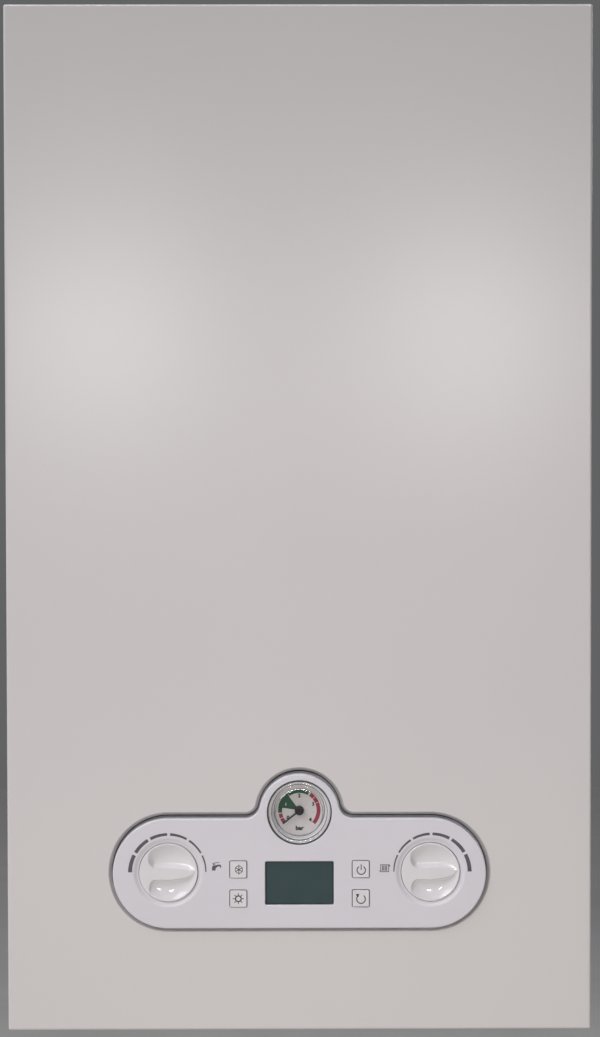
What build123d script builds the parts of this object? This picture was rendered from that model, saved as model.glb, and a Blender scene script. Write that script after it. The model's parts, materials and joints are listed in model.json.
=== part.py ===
from build123d import *
import math
import os

# A wall-hung combi boiler, in millimetres.
# X runs to the right seen from the front, Y runs from the front into the wall and Z runs up.
# Below, a depth is a distance in front of the wall and a height is measured from the casing's bottom edge.
# At the end the pieces are moved: the origin lies on the wall, midway between the bracket's bolt holes.

# ---- casing
casing_width = 400.0
casing_height = 700.0
casing_depth = 280.0
panel_sheet = 1.0
frame_sheet = 1.5
cover_fold_radius = 2.0
bend_radius = 0.5  # inside a fold of the side and top panels
cover_flange = 32.0  # how far the cover's edges reach back
slide_gap = 0.5  # between the cover and what it slides over
seam_gap = 0.8  # joint that shows behind the cover's edges
panel_rear_gap = 2.0  # the side and top panels stop this far from the wall
tongue_length = 14.0  # edge of a panel that tucks in behind the cover
panel_return = 20.0  # inward fold under each side panel

# ---- wall bracket and back frame
bracket_height = 640.0  # height of the bolt holes, which is where the origin lies
bracket_length = 300.0
bracket_width = 46.0
bracket_sheet = 3.0
bolt_spacing = 240.0
bolt_hole_radius = 4.5
bolt_access_radius = 12.0
hook_width = 36.0
hook_spacing = 150.0
hook_rise = 14.0
hook_slot_gap = 3.0  # each side of a hook
hook_slot_height = 20.0
frame_standoff = 10.0  # between the wall and the frame's back sheet
frame_flange = 26.0  # side folds of the frame's lower half
ledge_width = 20.0  # folds that carry the burner chamber
foot_height = 20.0
foot_length = 300.0

# ---- cut-out in the cover and the control panel that fills it
cutout_width = 256.2
cutout_height = 77.5
cutout_bottom = 70.2
cutout_lip = 5.0  # how far the cut-out's rolled edge reaches back
cutout_fold_radius = 2.0
hump_radius = 28.4
hump_corner = 9.7  # where the hump meets the straight top edge
groove = 1.1  # gap that shows all round the fascia
fascia_proud = 2.5  # the fascia stands this far in front of the cover
fascia_wall = 2.5
fascia_rim = 2.0
fascia_edge_radius = 1.2

# ---- control box
box_width = 300.0
box_bottom = 58.0
box_height = 132.0
box_depth = 62.0
box_wall = 2.5
box_behind_cover = 5.0  # between the cover's inside face and the box's front
box_corner_radius = 4.0
hinge_height = 64.0
hinge_depth = 268.0
hinge_pin_radius = 4.0
running_gap = 0.05  # round pins and shafts that turn
ear_gap = 2.0  # between the box's sides and the ears it hangs in
ear_width = 20.0

# ---- knobs, buttons, display, gauge
knob_spacing = 179.3
knob_height = 109.0
knob_radius = 20.0
knob_proud = 3.0
knob_skirt_wall = 1.6
knob_gap = 0.4
shaft_radius = 3.0  # stems of the knobs, spindles of the taps and shafts of the motors
knob_edge_radius = 0.8
knob_bowl_depth = 7.0
knob_floor = 2.0  # wall behind the bowls
knob_rim = 1.2
dish_radius = 23.2  # shallow dish in the fascia round each knob
dish_depth = 1.2
button_size = 12.2
button_corner = 1.0
button_gap = 0.3
button_proud = 0.8
button_travel = 1.0
button_columns = 83.6
button_rows = (110.8, 90.8)
button_stem = 6.0
button_flange = 1.2  # shoulder behind the fascia, each side
display_width = 46.8
display_height = 29.8
display_centre = 101.5
window_recess = 1.0
window_thickness = 1.5
window_gap = 0.2
gauge_height = 150.0
gauge_hole_radius = 22.1
gauge_bezel_radius = 21.8
gauge_body_radius = 20.0
gauge_dial_radius = 17.5
gauge_proud = 2.0
gauge_wall = 2.3
needle_length = 14.4
needle_hub_radius = 3.2
spindle_radius = 0.8
board_thickness = 1.6
display_board_depth = 262.0
main_board_gap = 4.0

# ---- sealed burner chamber
chamber_width = 376.0
chamber_bottom = 262.0
chamber_back = 90.0
chamber_front = 250.0
chamber_sheet = 1.0
chamber_lip = 12.0
seal_thickness = 2.5
seal_width = 10.0
burner_width = 210.0
burner_back = 112.0
burner_front = 222.0
burner_bottom = 296.0
burner_top = 332.0
burner_bars = 12
combustion_top = 444.0
insulation = 10.0
fin_count = 28
fin_thickness = 0.6
exchanger_height = 54.0
exchanger_tubes = 5
exchanger_tube_radius = 8.0
exchanger_tube_wall = 1.0
hood_height = 46.0
fan_radius = 50.0
fan_depth = 46.0
fan_wall = 2.0
fan_offset = 24.0
impeller_radius = 41.0
impeller_depth = 26.0
impeller_blades = 24
flue_depth = 170.0  # centre of the flue, in front of the wall
flue_radius = 30.0
air_duct_radius = 50.0
collar_flange_radius = 66.0
collar_height = 15.0
flue_seal_thickness = 2.0
duct_wall = 1.4

# ---- water and gas
port_depth = 110.0
port_spacing = 65.0
port_drop = 30.0  # how far the threaded ends stand below the casing
large_thread_radius = 13.22
small_thread_radius = 10.48
port_hole_gap = 4.0
vessel_radius = 160.0
vessel_rim = 6.0
vessel_thickness = 66.0
vessel_centre = 452.0
vessel_centre_depth = 50.0
vessel_sheet = 1.5
plate_length = 190.0
plate_height = 72.0
plate_depth = 36.0
plate_count = 12
plate_bottom = 62.0
plate_back = 60.0
block_radius = 20.0
block_top = 150.0
block_bore = 16.0
pump_height = 192.0
pump_radius = 38.0
pump_motor_radius = 40.0
pump_outlet_offset = 22.0
copper_radius = 9.0
copper_wall = 1.0
gas_tube_radius = 7.0
relief_pipe_radius = 7.0
relief_pipe_end = -18.0
relief_spigot_length = 15.0
filling_bonnet_radius = 9.0
capillary_radius = 1.2
cable_radius = 2.6
screw_radius = 1.9
screw_head_radius = 3.6
screw_head_height = 2.2
screw_gap = 0.2
seat_gap = 0.3  # between curved pieces that lie against each other

# ---- places worked out from the sizes above
half_width = casing_width / 2
cover_back = casing_depth - cover_flange
panel_front = cover_back - seam_gap
tongue_inset = panel_sheet + slide_gap
tongue_front = cover_back + tongue_length
cutout_centre = cutout_bottom + cutout_height / 2
cutout_top = cutout_bottom + cutout_height
fascia_front = casing_depth + fascia_proud
fascia_back = fascia_front - fascia_wall
box_front = casing_depth - panel_sheet - box_behind_cover
box_inside = box_front - box_wall
box_rear = box_front - box_depth
box_top = box_bottom + box_height
box_half = box_width / 2
board_front = display_board_depth + board_thickness
frame_front = frame_standoff + frame_sheet
plate_floor = panel_sheet + slide_gap  # underside of the connection plate
plate_deck = plate_floor + frame_sheet
chamber_half = chamber_width / 2
chamber_top = casing_height - tongue_inset - panel_sheet - seat_gap
seal_front = chamber_front + seal_thickness
port_places = [port_spacing * step for step in (-2, -1, 0, 1, 2)]
flow_port, tap_port, gas_port, cold_port, return_port = port_places
exchanger_top = combustion_top + exchanger_height
hood_top = exchanger_top + hood_height
fan_centre = hood_top + fan_radius + fan_wall + 2
cover_screw_places = [-150.0, 150.0]
cover_screw_depth = casing_depth - 18.0
shaft_bore = shaft_radius + running_gap
side_screw_depths = [60.0, panel_front - 30.0]
side_screw_x = half_width - panel_return * 0.6
relief_outlet_place = (return_port + 36.0, port_depth + 42.0)  # x and depth
filling_place = ((cold_port + return_port) / 2, port_depth + 22.0)  # x and depth
knob_places = [(-knob_spacing / 2, knob_height), (knob_spacing / 2, knob_height)]
fascia_peg_places = [(-114.0, 86.0), (-62.0, 81.0), (-62.0, 136.0)]
fascia_peg_places += [(-x, height) for x, height in fascia_peg_places]
board_post_places = [(x, height) for x in (-108.0, 108.0) for height in (82.0, 122.0)]
main_board_posts = [(x, height) for x in (-118.0, 118.0) for height in (78.0, 168.0)]
cable_outlets = [-40.0, 40.0, 94.0]
cable_outlet_height = 70.0
capillary_outlet = (-134.0, 150.0)  # x and height
dial_seat = box_front - 1
gauge_back = box_front - 24
needle_rest_angle = 219.0
# where the heating pipes and the gas pipe pass the chamber's floor, as x and depth
riser_places = {
    "flow": (-166.0, 150.0),
    "return": (return_port + pump_outlet_offset, port_depth),
    "gas": (0.0, burner_front + 18.0),
}
cable_riser = (150.0, 217.0)  # x and depth
sight_place = (0.0, burner_bottom + 26.0)  # x and height
electrode_places = [(-52.0, burner_top + 16.0), (52.0, burner_top + 16.0)]  # x and height of each
exchanger_middle = combustion_top + exchanger_height / 2
inlet_depth = flue_depth - fan_depth / 2 - 13  # the fan draws through a duct on its back
fan_outlet_radius = flue_radius - 2 - seat_gap
fan_motor_back = flue_depth + fan_depth / 2
vessel_stem_end = vessel_centre - vessel_radius - 14
flow_inlet_height = block_top - 26.0
diverter_floor = plate_deck + 34.0
vessel_inlet_height = 138.0
vessel_inlet_depth = port_depth - block_radius - 8
relief_height = 82.0
relief_seat = port_depth + block_radius + 8
air_vent_x = return_port - pump_outlet_offset
pump_outlet_height = pump_height + pump_radius + 8
gas_coil_front = 172.0
gas_axis_depth = 154.0


def block(left, right, back, front, bottom, top):
    # square block between two depths and two heights
    size = (right - left, front - back, top - bottom)
    return Pos(left, -front, bottom) * Box(*size, align=(Align.MIN,) * 3)


def rod_out(x, height, back, front, radius):
    # round bar that points out of the wall
    bar = Cylinder(radius, front - back, align=(Align.CENTER, Align.CENTER, Align.MIN))
    return Pos(x, -back, height) * Rot(90, 0, 0) * bar


def rod_up(x, depth, bottom, top, radius):
    bar = Cylinder(radius, top - bottom, align=(Align.CENTER, Align.CENTER, Align.MIN))
    return Pos(x, -depth, bottom) * bar


def rod_across(depth, height, left, right, radius):
    bar = Cylinder(radius, right - left, align=(Align.CENTER, Align.CENTER, Align.MIN))
    return Pos(left, -depth, height) * Rot(0, 90, 0) * bar


def front_plate(outline, back, front):
    # flat outline drawn as seen from the front, standing between two depths
    return extrude(Plane.XZ.offset(back) * outline, front - back)


def pipe(points, radius, bend, bore=0.0):
    # round tube along straight runs with rounded corners; each point is x, depth, height
    path = FilletPolyline(*[(x, -depth, height) for x, depth, height in points], radius=bend)
    section = Circle(radius) - Circle(bore) if bore else Circle(radius)
    return sweep(Plane(origin=path @ 0, z_dir=path % 0) * section, path=path)


def offset_points(points, distance):
    # the same line shifted sideways to the left, with its corners mitred
    shifted = []
    for index, point in enumerate(points):
        normals = []
        for start, end in ((index - 1, index), (index, index + 1)):
            if start >= 0 and end < len(points):
                run = Vector(*points[end]) - Vector(*points[start])
                normals.append(Vector(-run.Y, run.X).normalized())
        mitre = (normals[0] + normals[-1]).normalized()
        shifted.append(tuple(Vector(*point) + mitre * (distance / mitre.dot(normals[0])))[:2])
    return shifted


def folded_sheet(points, thickness, plane, length):
    # folded sheet with rounded bends: its outside follows the points, its metal lies to their left
    inner = offset_points(points, thickness)
    face = make_face(Polyline(*points, *reversed(inner), close=True))
    for index in range(1, len(points) - 1):
        run = Vector(*points[index]) - Vector(*points[index - 1])
        turn = run.cross(Vector(*points[index + 1]) - Vector(*points[index])).Z
        outer_radius, inner_radius = bend_radius + thickness, bend_radius
        if turn < 0:
            outer_radius, inner_radius = inner_radius, outer_radius
        for corner, radius in ((points[index], outer_radius), (inner[index], inner_radius)):
            face = fillet(face.vertices().sort_by_distance(corner)[0], radius)
    return extrude(plane * face, length)


def round_edges(shape, axis, radius):
    return fillet(shape.edges().filter_by(axis), radius)


def screw_down(x, depth, seat, length, up=False):
    # pan-head screw; seat is the height its head rests on
    turn = -1 if up else 1
    low, high = sorted((seat, seat + turn * screw_head_height))
    head = rod_up(x, depth, low, high, screw_head_radius)
    rim = head.faces().sort_by(Axis.Z)[-1 if turn > 0 else 0].edges()
    head = fillet(rim, screw_head_height * 0.4)
    cross = Pos(x, -depth, seat + turn * screw_head_height) * (Box(4, 0.9, 1.6) + Box(0.9, 4, 1.6))
    low, high = sorted((seat, seat - turn * length))
    return head - cross + rod_up(x, depth, low, high, screw_radius)


def screw_out(x, height, seat, length, back=False):
    # pan-head screw that points into the wall, or out of it
    turn = -1 if back else 1
    low, high = sorted((seat, seat + turn * screw_head_height))
    head = rod_out(x, height, low, high, screw_head_radius)
    rim = head.faces().sort_by(Axis.Y)[0 if turn > 0 else -1].edges()
    head = fillet(rim, screw_head_height * 0.4)
    cross = Pos(x, -(seat + turn * screw_head_height), height) * (Box(4, 1.6, 0.9) + Box(0.9, 1.6, 4))
    low, high = sorted((seat, seat - turn * length))
    return head - cross + rod_out(x, height, low, high, screw_radius)


# ---- casing


def panel_outline(inset):
    # rounded slot with a hump for the gauge, shrunk by the inset
    slot = Pos(0, cutout_centre) * SlotOverall(cutout_width - 2 * inset, cutout_height - 2 * inset)
    outline = slot + Pos(0, gauge_height) * Circle(hump_radius - inset)
    shoulder = cutout_top - inset
    reach = hump_radius - inset + 0.01
    corners = [v for v in outline.vertices() if abs(v.Y - shoulder) < 0.01 and abs(v.X) < reach]
    return fillet(corners, hump_corner + inset)


def front_cover():
    outside = block(-half_width, half_width, cover_back, casing_depth, 0, casing_height)
    folds = outside.faces().sort_by(Axis.Y)[0].edges() + outside.edges().filter_by(Axis.Y)
    outside = fillet(folds, cover_fold_radius)
    inside = block(
        panel_sheet - half_width,
        half_width - panel_sheet,
        cover_back - 1,
        casing_depth - panel_sheet,
        panel_sheet,
        casing_height - panel_sheet,
    )
    folds = inside.faces().sort_by(Axis.Y)[0].edges() + inside.edges().filter_by(Axis.Y)
    inside = fillet(folds, cover_fold_radius - panel_sheet)
    cover = outside - inside
    cover += front_plate(panel_outline(-panel_sheet), casing_depth - cutout_lip, casing_depth)
    cover -= front_plate(panel_outline(0), cover_back, casing_depth + 1)
    rim = cover.faces().filter_by(Axis.Y).sort_by(Axis.Y)[0].inner_wires()[0].edges()
    cover = fillet(rim, cutout_fold_radius)
    slot = 2 * (screw_radius + slide_gap)
    for x in cover_screw_places:
        cover -= block(x - slot / 2, x + slot / 2, cover_back - 1, cover_screw_depth, -1, panel_sheet + 1)
        cover -= rod_up(x, cover_screw_depth, -1, panel_sheet + 1, slot / 2)
    return cover


def side_panel():
    # the right panel: rear return, face, step inwards, tongue behind the cover
    line = [
        (half_width - panel_return / 2, -panel_rear_gap),
        (half_width, -panel_rear_gap),
        (half_width, -panel_front),
        (half_width - tongue_inset, -cover_back),
        (half_width - tongue_inset, -tongue_front),
    ]
    panel = folded_sheet(list(reversed(line)), panel_sheet, Plane.XY, casing_height - panel_sheet)
    tongue_top = casing_height - tongue_inset - panel_sheet
    bend = panel_front - panel_sheet
    panel -= block(0, casing_width, bend, casing_depth, tongue_top, casing_height)
    panel -= block(0, casing_width, panel_front, casing_depth, -1, tongue_inset)
    foot = block(half_width - panel_return, half_width, frame_flange, panel_front - 8, 0, panel_sheet)
    for depth in side_screw_depths:
        foot -= rod_up(side_screw_x, depth, -1, panel_sheet + 1, screw_radius + screw_gap)
    return panel + foot


def top_screw_places():
    side = half_width - 6.5
    return [(x, depth) for x in (-side, side) for depth in (30.0, panel_front - 20.0)]


def top_panel():
    rear_fold = 12.0
    line = [
        (-panel_rear_gap, casing_height - rear_fold),
        (-panel_rear_gap, casing_height),
        (-panel_front, casing_height),
        (-cover_back, casing_height - tongue_inset),
        (-tongue_front, casing_height - tongue_inset),
    ]
    panel = folded_sheet(line, panel_sheet, Plane.YZ, half_width)
    panel += mirror(panel, Plane.YZ)
    side = half_width - tongue_inset
    fold_side = half_width - panel_return / 2 - slide_gap
    for edge in (-1, 1):
        low, high = sorted((edge * side, edge * casing_width))
        panel -= block(low, high, panel_front, casing_depth, 0, casing_height + 1)
        low, high = sorted((edge * fold_side, edge * casing_width))
        panel -= block(low, high, 0, panel_front - 1, 0, casing_height - panel_sheet)
    panel -= rod_up(0, flue_depth, chamber_top, casing_height + 1, collar_flange_radius + 1.5)
    for x, depth in top_screw_places():
        panel -= rod_up(x, depth, chamber_top - 1, casing_height + 1, screw_radius + screw_gap)
    return panel


def wall_bracket():
    low = bracket_height - bracket_width / 2
    high = bracket_height + bracket_width / 2
    bracket = block(-bracket_length / 2, bracket_length / 2, 0, bracket_sheet, low, high)
    bracket = round_edges(bracket, Axis.Y, 6)
    hook_front = frame_front + hook_slot_gap + bracket_sheet
    for x in (-hook_spacing / 2, hook_spacing / 2):
        left, right = x - hook_width / 2, x + hook_width / 2
        bracket += block(left, right, 0, hook_front, high - bracket_sheet, high)
        bracket += block(left, right, hook_front - bracket_sheet, hook_front, high, high + hook_rise)
    for x in (-bolt_spacing / 2, bolt_spacing / 2):
        bracket -= rod_out(x, bracket_height, -1, bracket_sheet + 1, bolt_hole_radius)
    return bracket


def hinge_ear(x_low, x_high):
    # upright lug with a rounded top that carries one pivot of the control box
    ear = block(
        x_low,
        x_high,
        hinge_depth - ear_width / 2,
        hinge_depth + ear_width / 2,
        plate_floor,
        hinge_height,
    )
    ear += rod_across(hinge_depth, hinge_height, x_low, x_high, ear_width / 2)
    return ear - rod_across(
        hinge_depth, hinge_height, x_low - 1, x_high + 1, hinge_pin_radius + running_gap
    )


def back_frame():
    side = half_width - panel_sheet
    inner = side - frame_sheet
    top = casing_height - panel_sheet
    frame = block(-side, side, frame_standoff, frame_front, plate_deck, top)
    for edge in (-1, 1):
        low, high = sorted((edge * inner, edge * side))
        frame += block(low, high, frame_standoff, frame_flange + frame_standoff, plate_deck, chamber_bottom)
        frame += block(low, high, frame_standoff, panel_front - 2, chamber_bottom - frame_sheet, top)
        low, high = sorted((edge * (side - ledge_width), edge * side))
        for seat in (chamber_bottom, top):
            frame += block(low, high, frame_standoff, panel_front - 2, seat - frame_sheet, seat)
    # folds at the foot keep the boiler parallel to the wall
    frame += block(-foot_length / 2, foot_length / 2, 0, frame_front, plate_deck, plate_deck + frame_sheet)
    frame += block(-foot_length / 2, foot_length / 2, 0, frame_sheet, plate_deck, plate_deck + foot_height)
    # two tabs under the rim of the expansion vessel
    rim_radius = vessel_radius + vessel_rim
    tab_near, tab_far = 25.0, 55.0
    tab_top = vessel_centre - math.sqrt(rim_radius**2 - tab_near**2) - seat_gap
    for edge in (-1, 1):
        low, high = sorted((edge * tab_near, edge * tab_far))
        frame += block(
            low, high, frame_standoff, vessel_centre_depth + 8, tab_top - frame_sheet, tab_top
        )
    # slots that drop over the bracket's hooks, and access to the wall bolts
    hook_seat = bracket_height + bracket_width / 2
    slot_half = hook_width / 2 + hook_slot_gap
    for x in (-hook_spacing / 2, hook_spacing / 2):
        frame -= block(
            x - slot_half, x + slot_half, frame_standoff - 1, frame_front + 1, hook_seat - hook_slot_height,
            hook_seat,
        )
    for x in (-bolt_spacing / 2, bolt_spacing / 2):
        frame -= rod_out(x, bracket_height, frame_standoff - 1, frame_front + 1, bolt_access_radius)
    for x, depth in top_screw_places():
        frame -= rod_up(x, depth, top - 2 * frame_sheet, top + 1, screw_radius + screw_gap)
    return frame


def connection_plate():
    side = half_width - panel_sheet - frame_sheet - screw_gap
    rear_edge = frame_front
    front_edge = casing_depth - panel_sheet - 9.0
    fold = 16.0
    plate = block(-side, side, rear_edge, front_edge, plate_floor, plate_deck)
    plate += block(-side, side, rear_edge, rear_edge + frame_sheet, plate_floor, plate_deck + fold)
    for edge in (-1, 1):
        low, high = sorted((edge * (side - frame_sheet), edge * side))
        plate += block(low, high, rear_edge, front_edge, plate_floor, plate_deck + fold)
        low = edge * (box_half + ear_gap)
        plate += hinge_ear(*sorted((low, low + edge * frame_sheet)))
    for x in port_places:
        radius = small_thread_radius if x in (tap_port, cold_port) else large_thread_radius
        plate -= rod_up(x, port_depth, 0, plate_deck + 1, radius + port_hole_gap)
    plate -= rod_up(*relief_outlet_place, 0, plate_deck + 1, relief_pipe_radius + port_hole_gap)
    plate -= rod_up(*filling_place, 0, plate_deck + 1, filling_bonnet_radius)
    for x in cover_screw_places:
        plate -= rod_up(x, cover_screw_depth, 0, plate_deck + 1, screw_radius + screw_gap)
    for depth in side_screw_depths:
        for x in (-side_screw_x, side_screw_x):
            plate -= rod_up(x, depth, 0, plate_deck + 1, screw_radius + screw_gap)
    return plate


def chamber_screw_places():
    side = chamber_half - chamber_lip / 2
    low = chamber_bottom + chamber_lip / 2
    high = chamber_top - chamber_lip / 2
    middle = (low + high) / 2
    places = [(x, height) for x in (-side, side) for height in (low, middle, high)]
    return places + [(x, height) for x in (-side / 2, side / 2) for height in (low, high)]


def casing_screws():
    screws = [screw_down(x, cover_screw_depth, 0, plate_deck + 4, up=True) for x in cover_screw_places]
    for x in (-side_screw_x, side_screw_x):
        screws += [screw_down(x, depth, 0, plate_deck + 4, up=True) for depth in side_screw_depths]
    screws += [screw_down(x, depth, casing_height, 8) for x, depth in top_screw_places()]
    deck = chamber_top + flue_seal_thickness + 2.5
    screws += [screw_down(x, depth, deck, 8) for x, depth in collar_screw_places()]
    screws += [screw_out(x, height, seal_front + chamber_sheet, 8) for x, height in chamber_screw_places()]
    return screws


# ---- control unit


def button_places():
    half = button_columns / 2
    return {
        "frost_button": (-half, button_rows[0]),
        "summer_button": (-half, button_rows[1]),
        "power_button": (half, button_rows[0]),
        "reset_button": (half, button_rows[1]),
    }


def box_screw_places():
    side = box_half - 8.0
    return [(x, height) for x in (-side, side) for height in (box_bottom + 10.0, box_top - 8.0)]


def control_box():
    outside = block(-box_half, box_half, box_rear + box_wall, box_front, box_bottom, box_top)
    edges = outside.faces().sort_by(Axis.Y)[0].edges() + outside.edges().filter_by(Axis.Y)
    outside = fillet(edges, box_corner_radius)
    inside = block(
        box_wall - box_half,
        box_half - box_wall,
        box_rear,
        box_inside,
        box_bottom + box_wall,
        box_top - box_wall,
    )
    box = outside - round_edges(inside, Axis.Y, box_corner_radius - box_wall)
    for x, height in box_screw_places():
        box += rod_out(x, height, box_rear + box_wall, box_inside, 5)
        box -= rod_out(x, height, box_rear, box_rear + box_wall + 14, screw_radius + screw_gap)
    for x, height in board_post_places:
        box += rod_out(x, height, board_front, box_inside, 3)
    # openings behind the fascia
    for x, height in knob_places:
        box -= rod_out(x, height, box_rear, box_front + 1, shaft_radius + 1.2)
    for x, height in button_places().values():
        half = button_stem / 2 + 0.8
        box -= block(x - half, x + half, box_inside - 1, box_front + 1, height - half, height + half)
    half_x, half_z = display_width / 2 + 4.5, display_height / 2 + 4.5
    box -= block(
        -half_x, half_x, box_inside - 1, box_front + 1, display_centre - half_z, display_centre + half_z
    )
    box -= rod_out(0, gauge_height, box_inside - 1, box_front + 1, gauge_body_radius + seat_gap)
    for x, height in fascia_peg_places:
        box -= rod_out(x, height, box_inside - 1, box_front + 1, 2 + seat_gap)
    pivot_end = box_half + ear_gap + frame_sheet + 3.5
    for left, right in ((-pivot_end, -box_half), (box_half, pivot_end)):
        box += rod_across(hinge_depth, hinge_height, left, right, hinge_pin_radius)
        shoulder = sorted((math.copysign(box_half, left), math.copysign(box_half + ear_gap - 0.5, left)))
        box += rod_across(hinge_depth, hinge_height, *shoulder, hinge_pin_radius + 1.8)
    return box


def control_fascia():
    plate = front_plate(panel_outline(groove), box_front, fascia_front)
    edge = plate.faces().filter_by(Axis.Y).sort_by(Axis.Y)[0].edges()
    fascia = fillet(edge, fascia_edge_radius)
    fascia -= front_plate(panel_outline(groove + fascia_rim), box_front - 1, fascia_back)
    for x, height in knob_places:
        fascia -= rod_out(x, height, box_front - 1, fascia_front + 1, knob_radius + knob_gap)
        dish = Cone(knob_radius + knob_gap, dish_radius, dish_depth, align=(Align.CENTER,) * 2 + (Align.MAX,))
        fascia -= Pos(x, -fascia_front, height) * Rot(90, 0, 0) * dish
    for x, height in button_places().values():
        size = button_size + 2 * button_gap
        hole = Pos(x, height) * RectangleRounded(size, size, button_corner + button_gap)
        fascia -= front_plate(hole, box_front - 1, fascia_front + 1)
    window = Pos(0, display_centre) * Rectangle(display_width, display_height)
    fascia -= front_plate(window, box_front - 1, fascia_front + 1)
    fascia -= rod_out(0, gauge_height, box_front - 1, fascia_front + 1, gauge_hole_radius)
    for x, height in fascia_peg_places:
        fascia += rod_out(x, height, box_inside - 1.5, fascia_back, 2)
    return fascia


def box_rear_cover():
    cover = block(-box_half, box_half, box_rear, box_rear + box_wall, box_bottom, box_top)
    cover = round_edges(cover, Axis.Y, box_corner_radius)
    for x, height in box_screw_places():
        cover -= rod_out(x, height, box_rear - 1, box_rear + box_wall + 1, screw_radius + screw_gap)
    for x, height in main_board_posts:
        cover += rod_out(x, height, box_rear + box_wall, box_rear + box_wall + main_board_gap, 3)
    # cooling slots, cable outlets and the hole for the gauge's capillary
    for step in range(9):
        x = (step - 4) * 12.0
        cover -= block(x - 2, x + 2, box_rear - 1, box_rear + box_wall + 1, box_top - 34, box_top - 12)
    for x in cable_outlets:
        cover -= rod_out(x, cable_outlet_height, box_rear - 1, box_rear + box_wall + 1, cable_radius + 0.5)
    cover -= rod_out(
        capillary_outlet[0], capillary_outlet[1], box_rear - 1, box_rear + box_wall + 1, capillary_radius + 1
    )
    return cover


def main_board():
    back = box_rear + box_wall + main_board_gap
    face = back + board_thickness
    board = block(-126, 126, back, face, 76, 174)
    transformer = block(-112, -72, face, face + 26, 92, 126) + block(-116, -68, face, face + 3, 88, 130)
    relays = [block(x, x + 15, face, face + 16, 140, 160) for x in (-60.0, -40.0, -20.0, 0.0)]
    sockets = [block(x, x + 22, face, face + 9, 78, 86) for x in (-60.0, -20.0, 20.0, 60.0)]
    capacitors = [rod_out(x, 148, face, face + 20, 6) for x in (34.0, 52.0)]
    fuse = rod_across(face + 6, 104, 84, 106, 2.6) + block(83, 86, face, face + 9, 100, 108)
    fuse += block(104, 107, face, face + 9, 100, 108)
    chip = block(20, 48, face, face + 4, 102, 126)
    return [board, transformer, *relays, *sockets, *capacitors, fuse, chip]


def display_board():
    board = block(-116, 116, display_board_depth, board_front, 76, 127)
    pieces = [board]
    half_x, half_z = display_width / 2 + 3.5, display_height / 2 + 3.5
    low, high = display_centre - half_z, display_centre + half_z
    glass_front = fascia_front - window_recess - window_thickness - 1.2
    module = block(-half_x, half_x, board_front, glass_front - 2, low, high)
    module = round_edges(module, Axis.Y, 1.5)
    cell = block(3 - half_x, half_x - 3, glass_front - 2, glass_front, low + 3, high - 3)
    pieces += [module, cell]
    for x, height in button_places().values():
        switch = block(x - 3, x + 3, board_front, board_front + 4, height - 3, height + 3)
        pieces.append(switch + rod_out(x, height, board_front + 4, board_front + 5, 1.7))
    for x, height in knob_places:
        case = block(x - 8, x + 8, board_front, box_inside - 0.5, height - 8, height + 8)
        case = round_edges(case, Axis.Y, 1.5)
        pieces.append(case - rod_out(x, height, board_front + 0.4, box_inside, shaft_bore))
    return pieces


def display_window():
    front = fascia_front - window_recess
    size = (display_width - 2 * window_gap, display_height - 2 * window_gap)
    window = front_plate(Pos(0, display_centre) * Rectangle(*size), fascia_back, front)
    flange = Pos(0, display_centre) * Rectangle(display_width + 4, display_height + 4)
    return window + front_plate(flange, fascia_back - 1, fascia_back)


def knob(x, height):
    back = box_front + 1
    front = fascia_front + knob_proud
    body = rod_out(0, 0, back, front, knob_radius)
    body = fillet(body.faces().sort_by(Axis.Y)[0].edges(), knob_edge_radius)
    hollow_front = front - knob_bowl_depth - knob_floor
    body -= rod_out(0, 0, back - 1, hollow_front, knob_radius - knob_skirt_wall)
    # a tapering grip between two scooped bowls
    bowl_radius = knob_radius - knob_rim
    grip_half, flare, tip = 3.7, 8.6, 17.2
    for side in (-1, 1):
        start = -math.sqrt(bowl_radius**2 - flare**2)
        outline = Polyline((start, side * flare), (-8.7, side * grip_half))
        outline += Polyline((-8.7, side * grip_half), (6.0, side * 3.2), (tip, side * 0.6))
        end = (math.sqrt(bowl_radius**2 - 0.36), side * 0.6)
        outline += Line((tip, side * 0.6), end)
        outline += ThreePointArc(end, (0, side * bowl_radius), (start, side * flare))
        bowl = extrude(Plane.XZ.offset(front - knob_bowl_depth) * make_face(outline), knob_bowl_depth + 1)
        floor = bowl.faces().sort_by(Axis.Y)[-1].edges()
        bowl = fillet(floor, 0.8)
        body -= bowl
    body += rod_out(0, 0, board_front + 1, hollow_front + 0.5, shaft_radius)
    return Pos(x, 0, height) * body


def button(x, height):
    front = fascia_front + button_proud
    seat = fascia_back - 0.1
    cap = RectangleRounded(button_size, button_size, button_corner)
    shape = front_plate(cap, seat - button_flange, front)
    shape = fillet(shape.faces().sort_by(Axis.Y)[0].edges(), 0.4)
    flange = button_size + 2 * button_flange
    shape += front_plate(Rectangle(flange, flange), seat - button_flange, seat)
    stem_back = board_front + 5 + button_travel + 0.4
    shape += front_plate(Rectangle(button_stem, button_stem), stem_back, seat - button_flange)
    return Pos(x, 0, height) * shape


def gauge_case():
    front = box_front + 3
    body = rod_out(0, gauge_height, gauge_back, front, gauge_body_radius)
    body += rod_out(0, gauge_height, box_front, front, gauge_bezel_radius)
    body -= rod_out(0, gauge_height, gauge_back + gauge_wall, front + 1, gauge_dial_radius - 2)
    body -= rod_out(0, gauge_height, dial_seat, front + 1, gauge_dial_radius + 0.2)
    body += rod_out(0, gauge_height, gauge_back, gauge_back + 14, 4)
    body -= rod_out(0, gauge_height, gauge_back + 6, gauge_back + 15, spindle_radius + running_gap)
    body += rod_out(0, gauge_height, gauge_back - 6, gauge_back, 4)
    return body


def gauge_dial():
    dial = rod_out(0, gauge_height, dial_seat, dial_seat + 0.8, gauge_dial_radius)
    return dial - rod_out(0, gauge_height, dial_seat - 1, dial_seat + 2, spindle_radius + 0.5)


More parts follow.
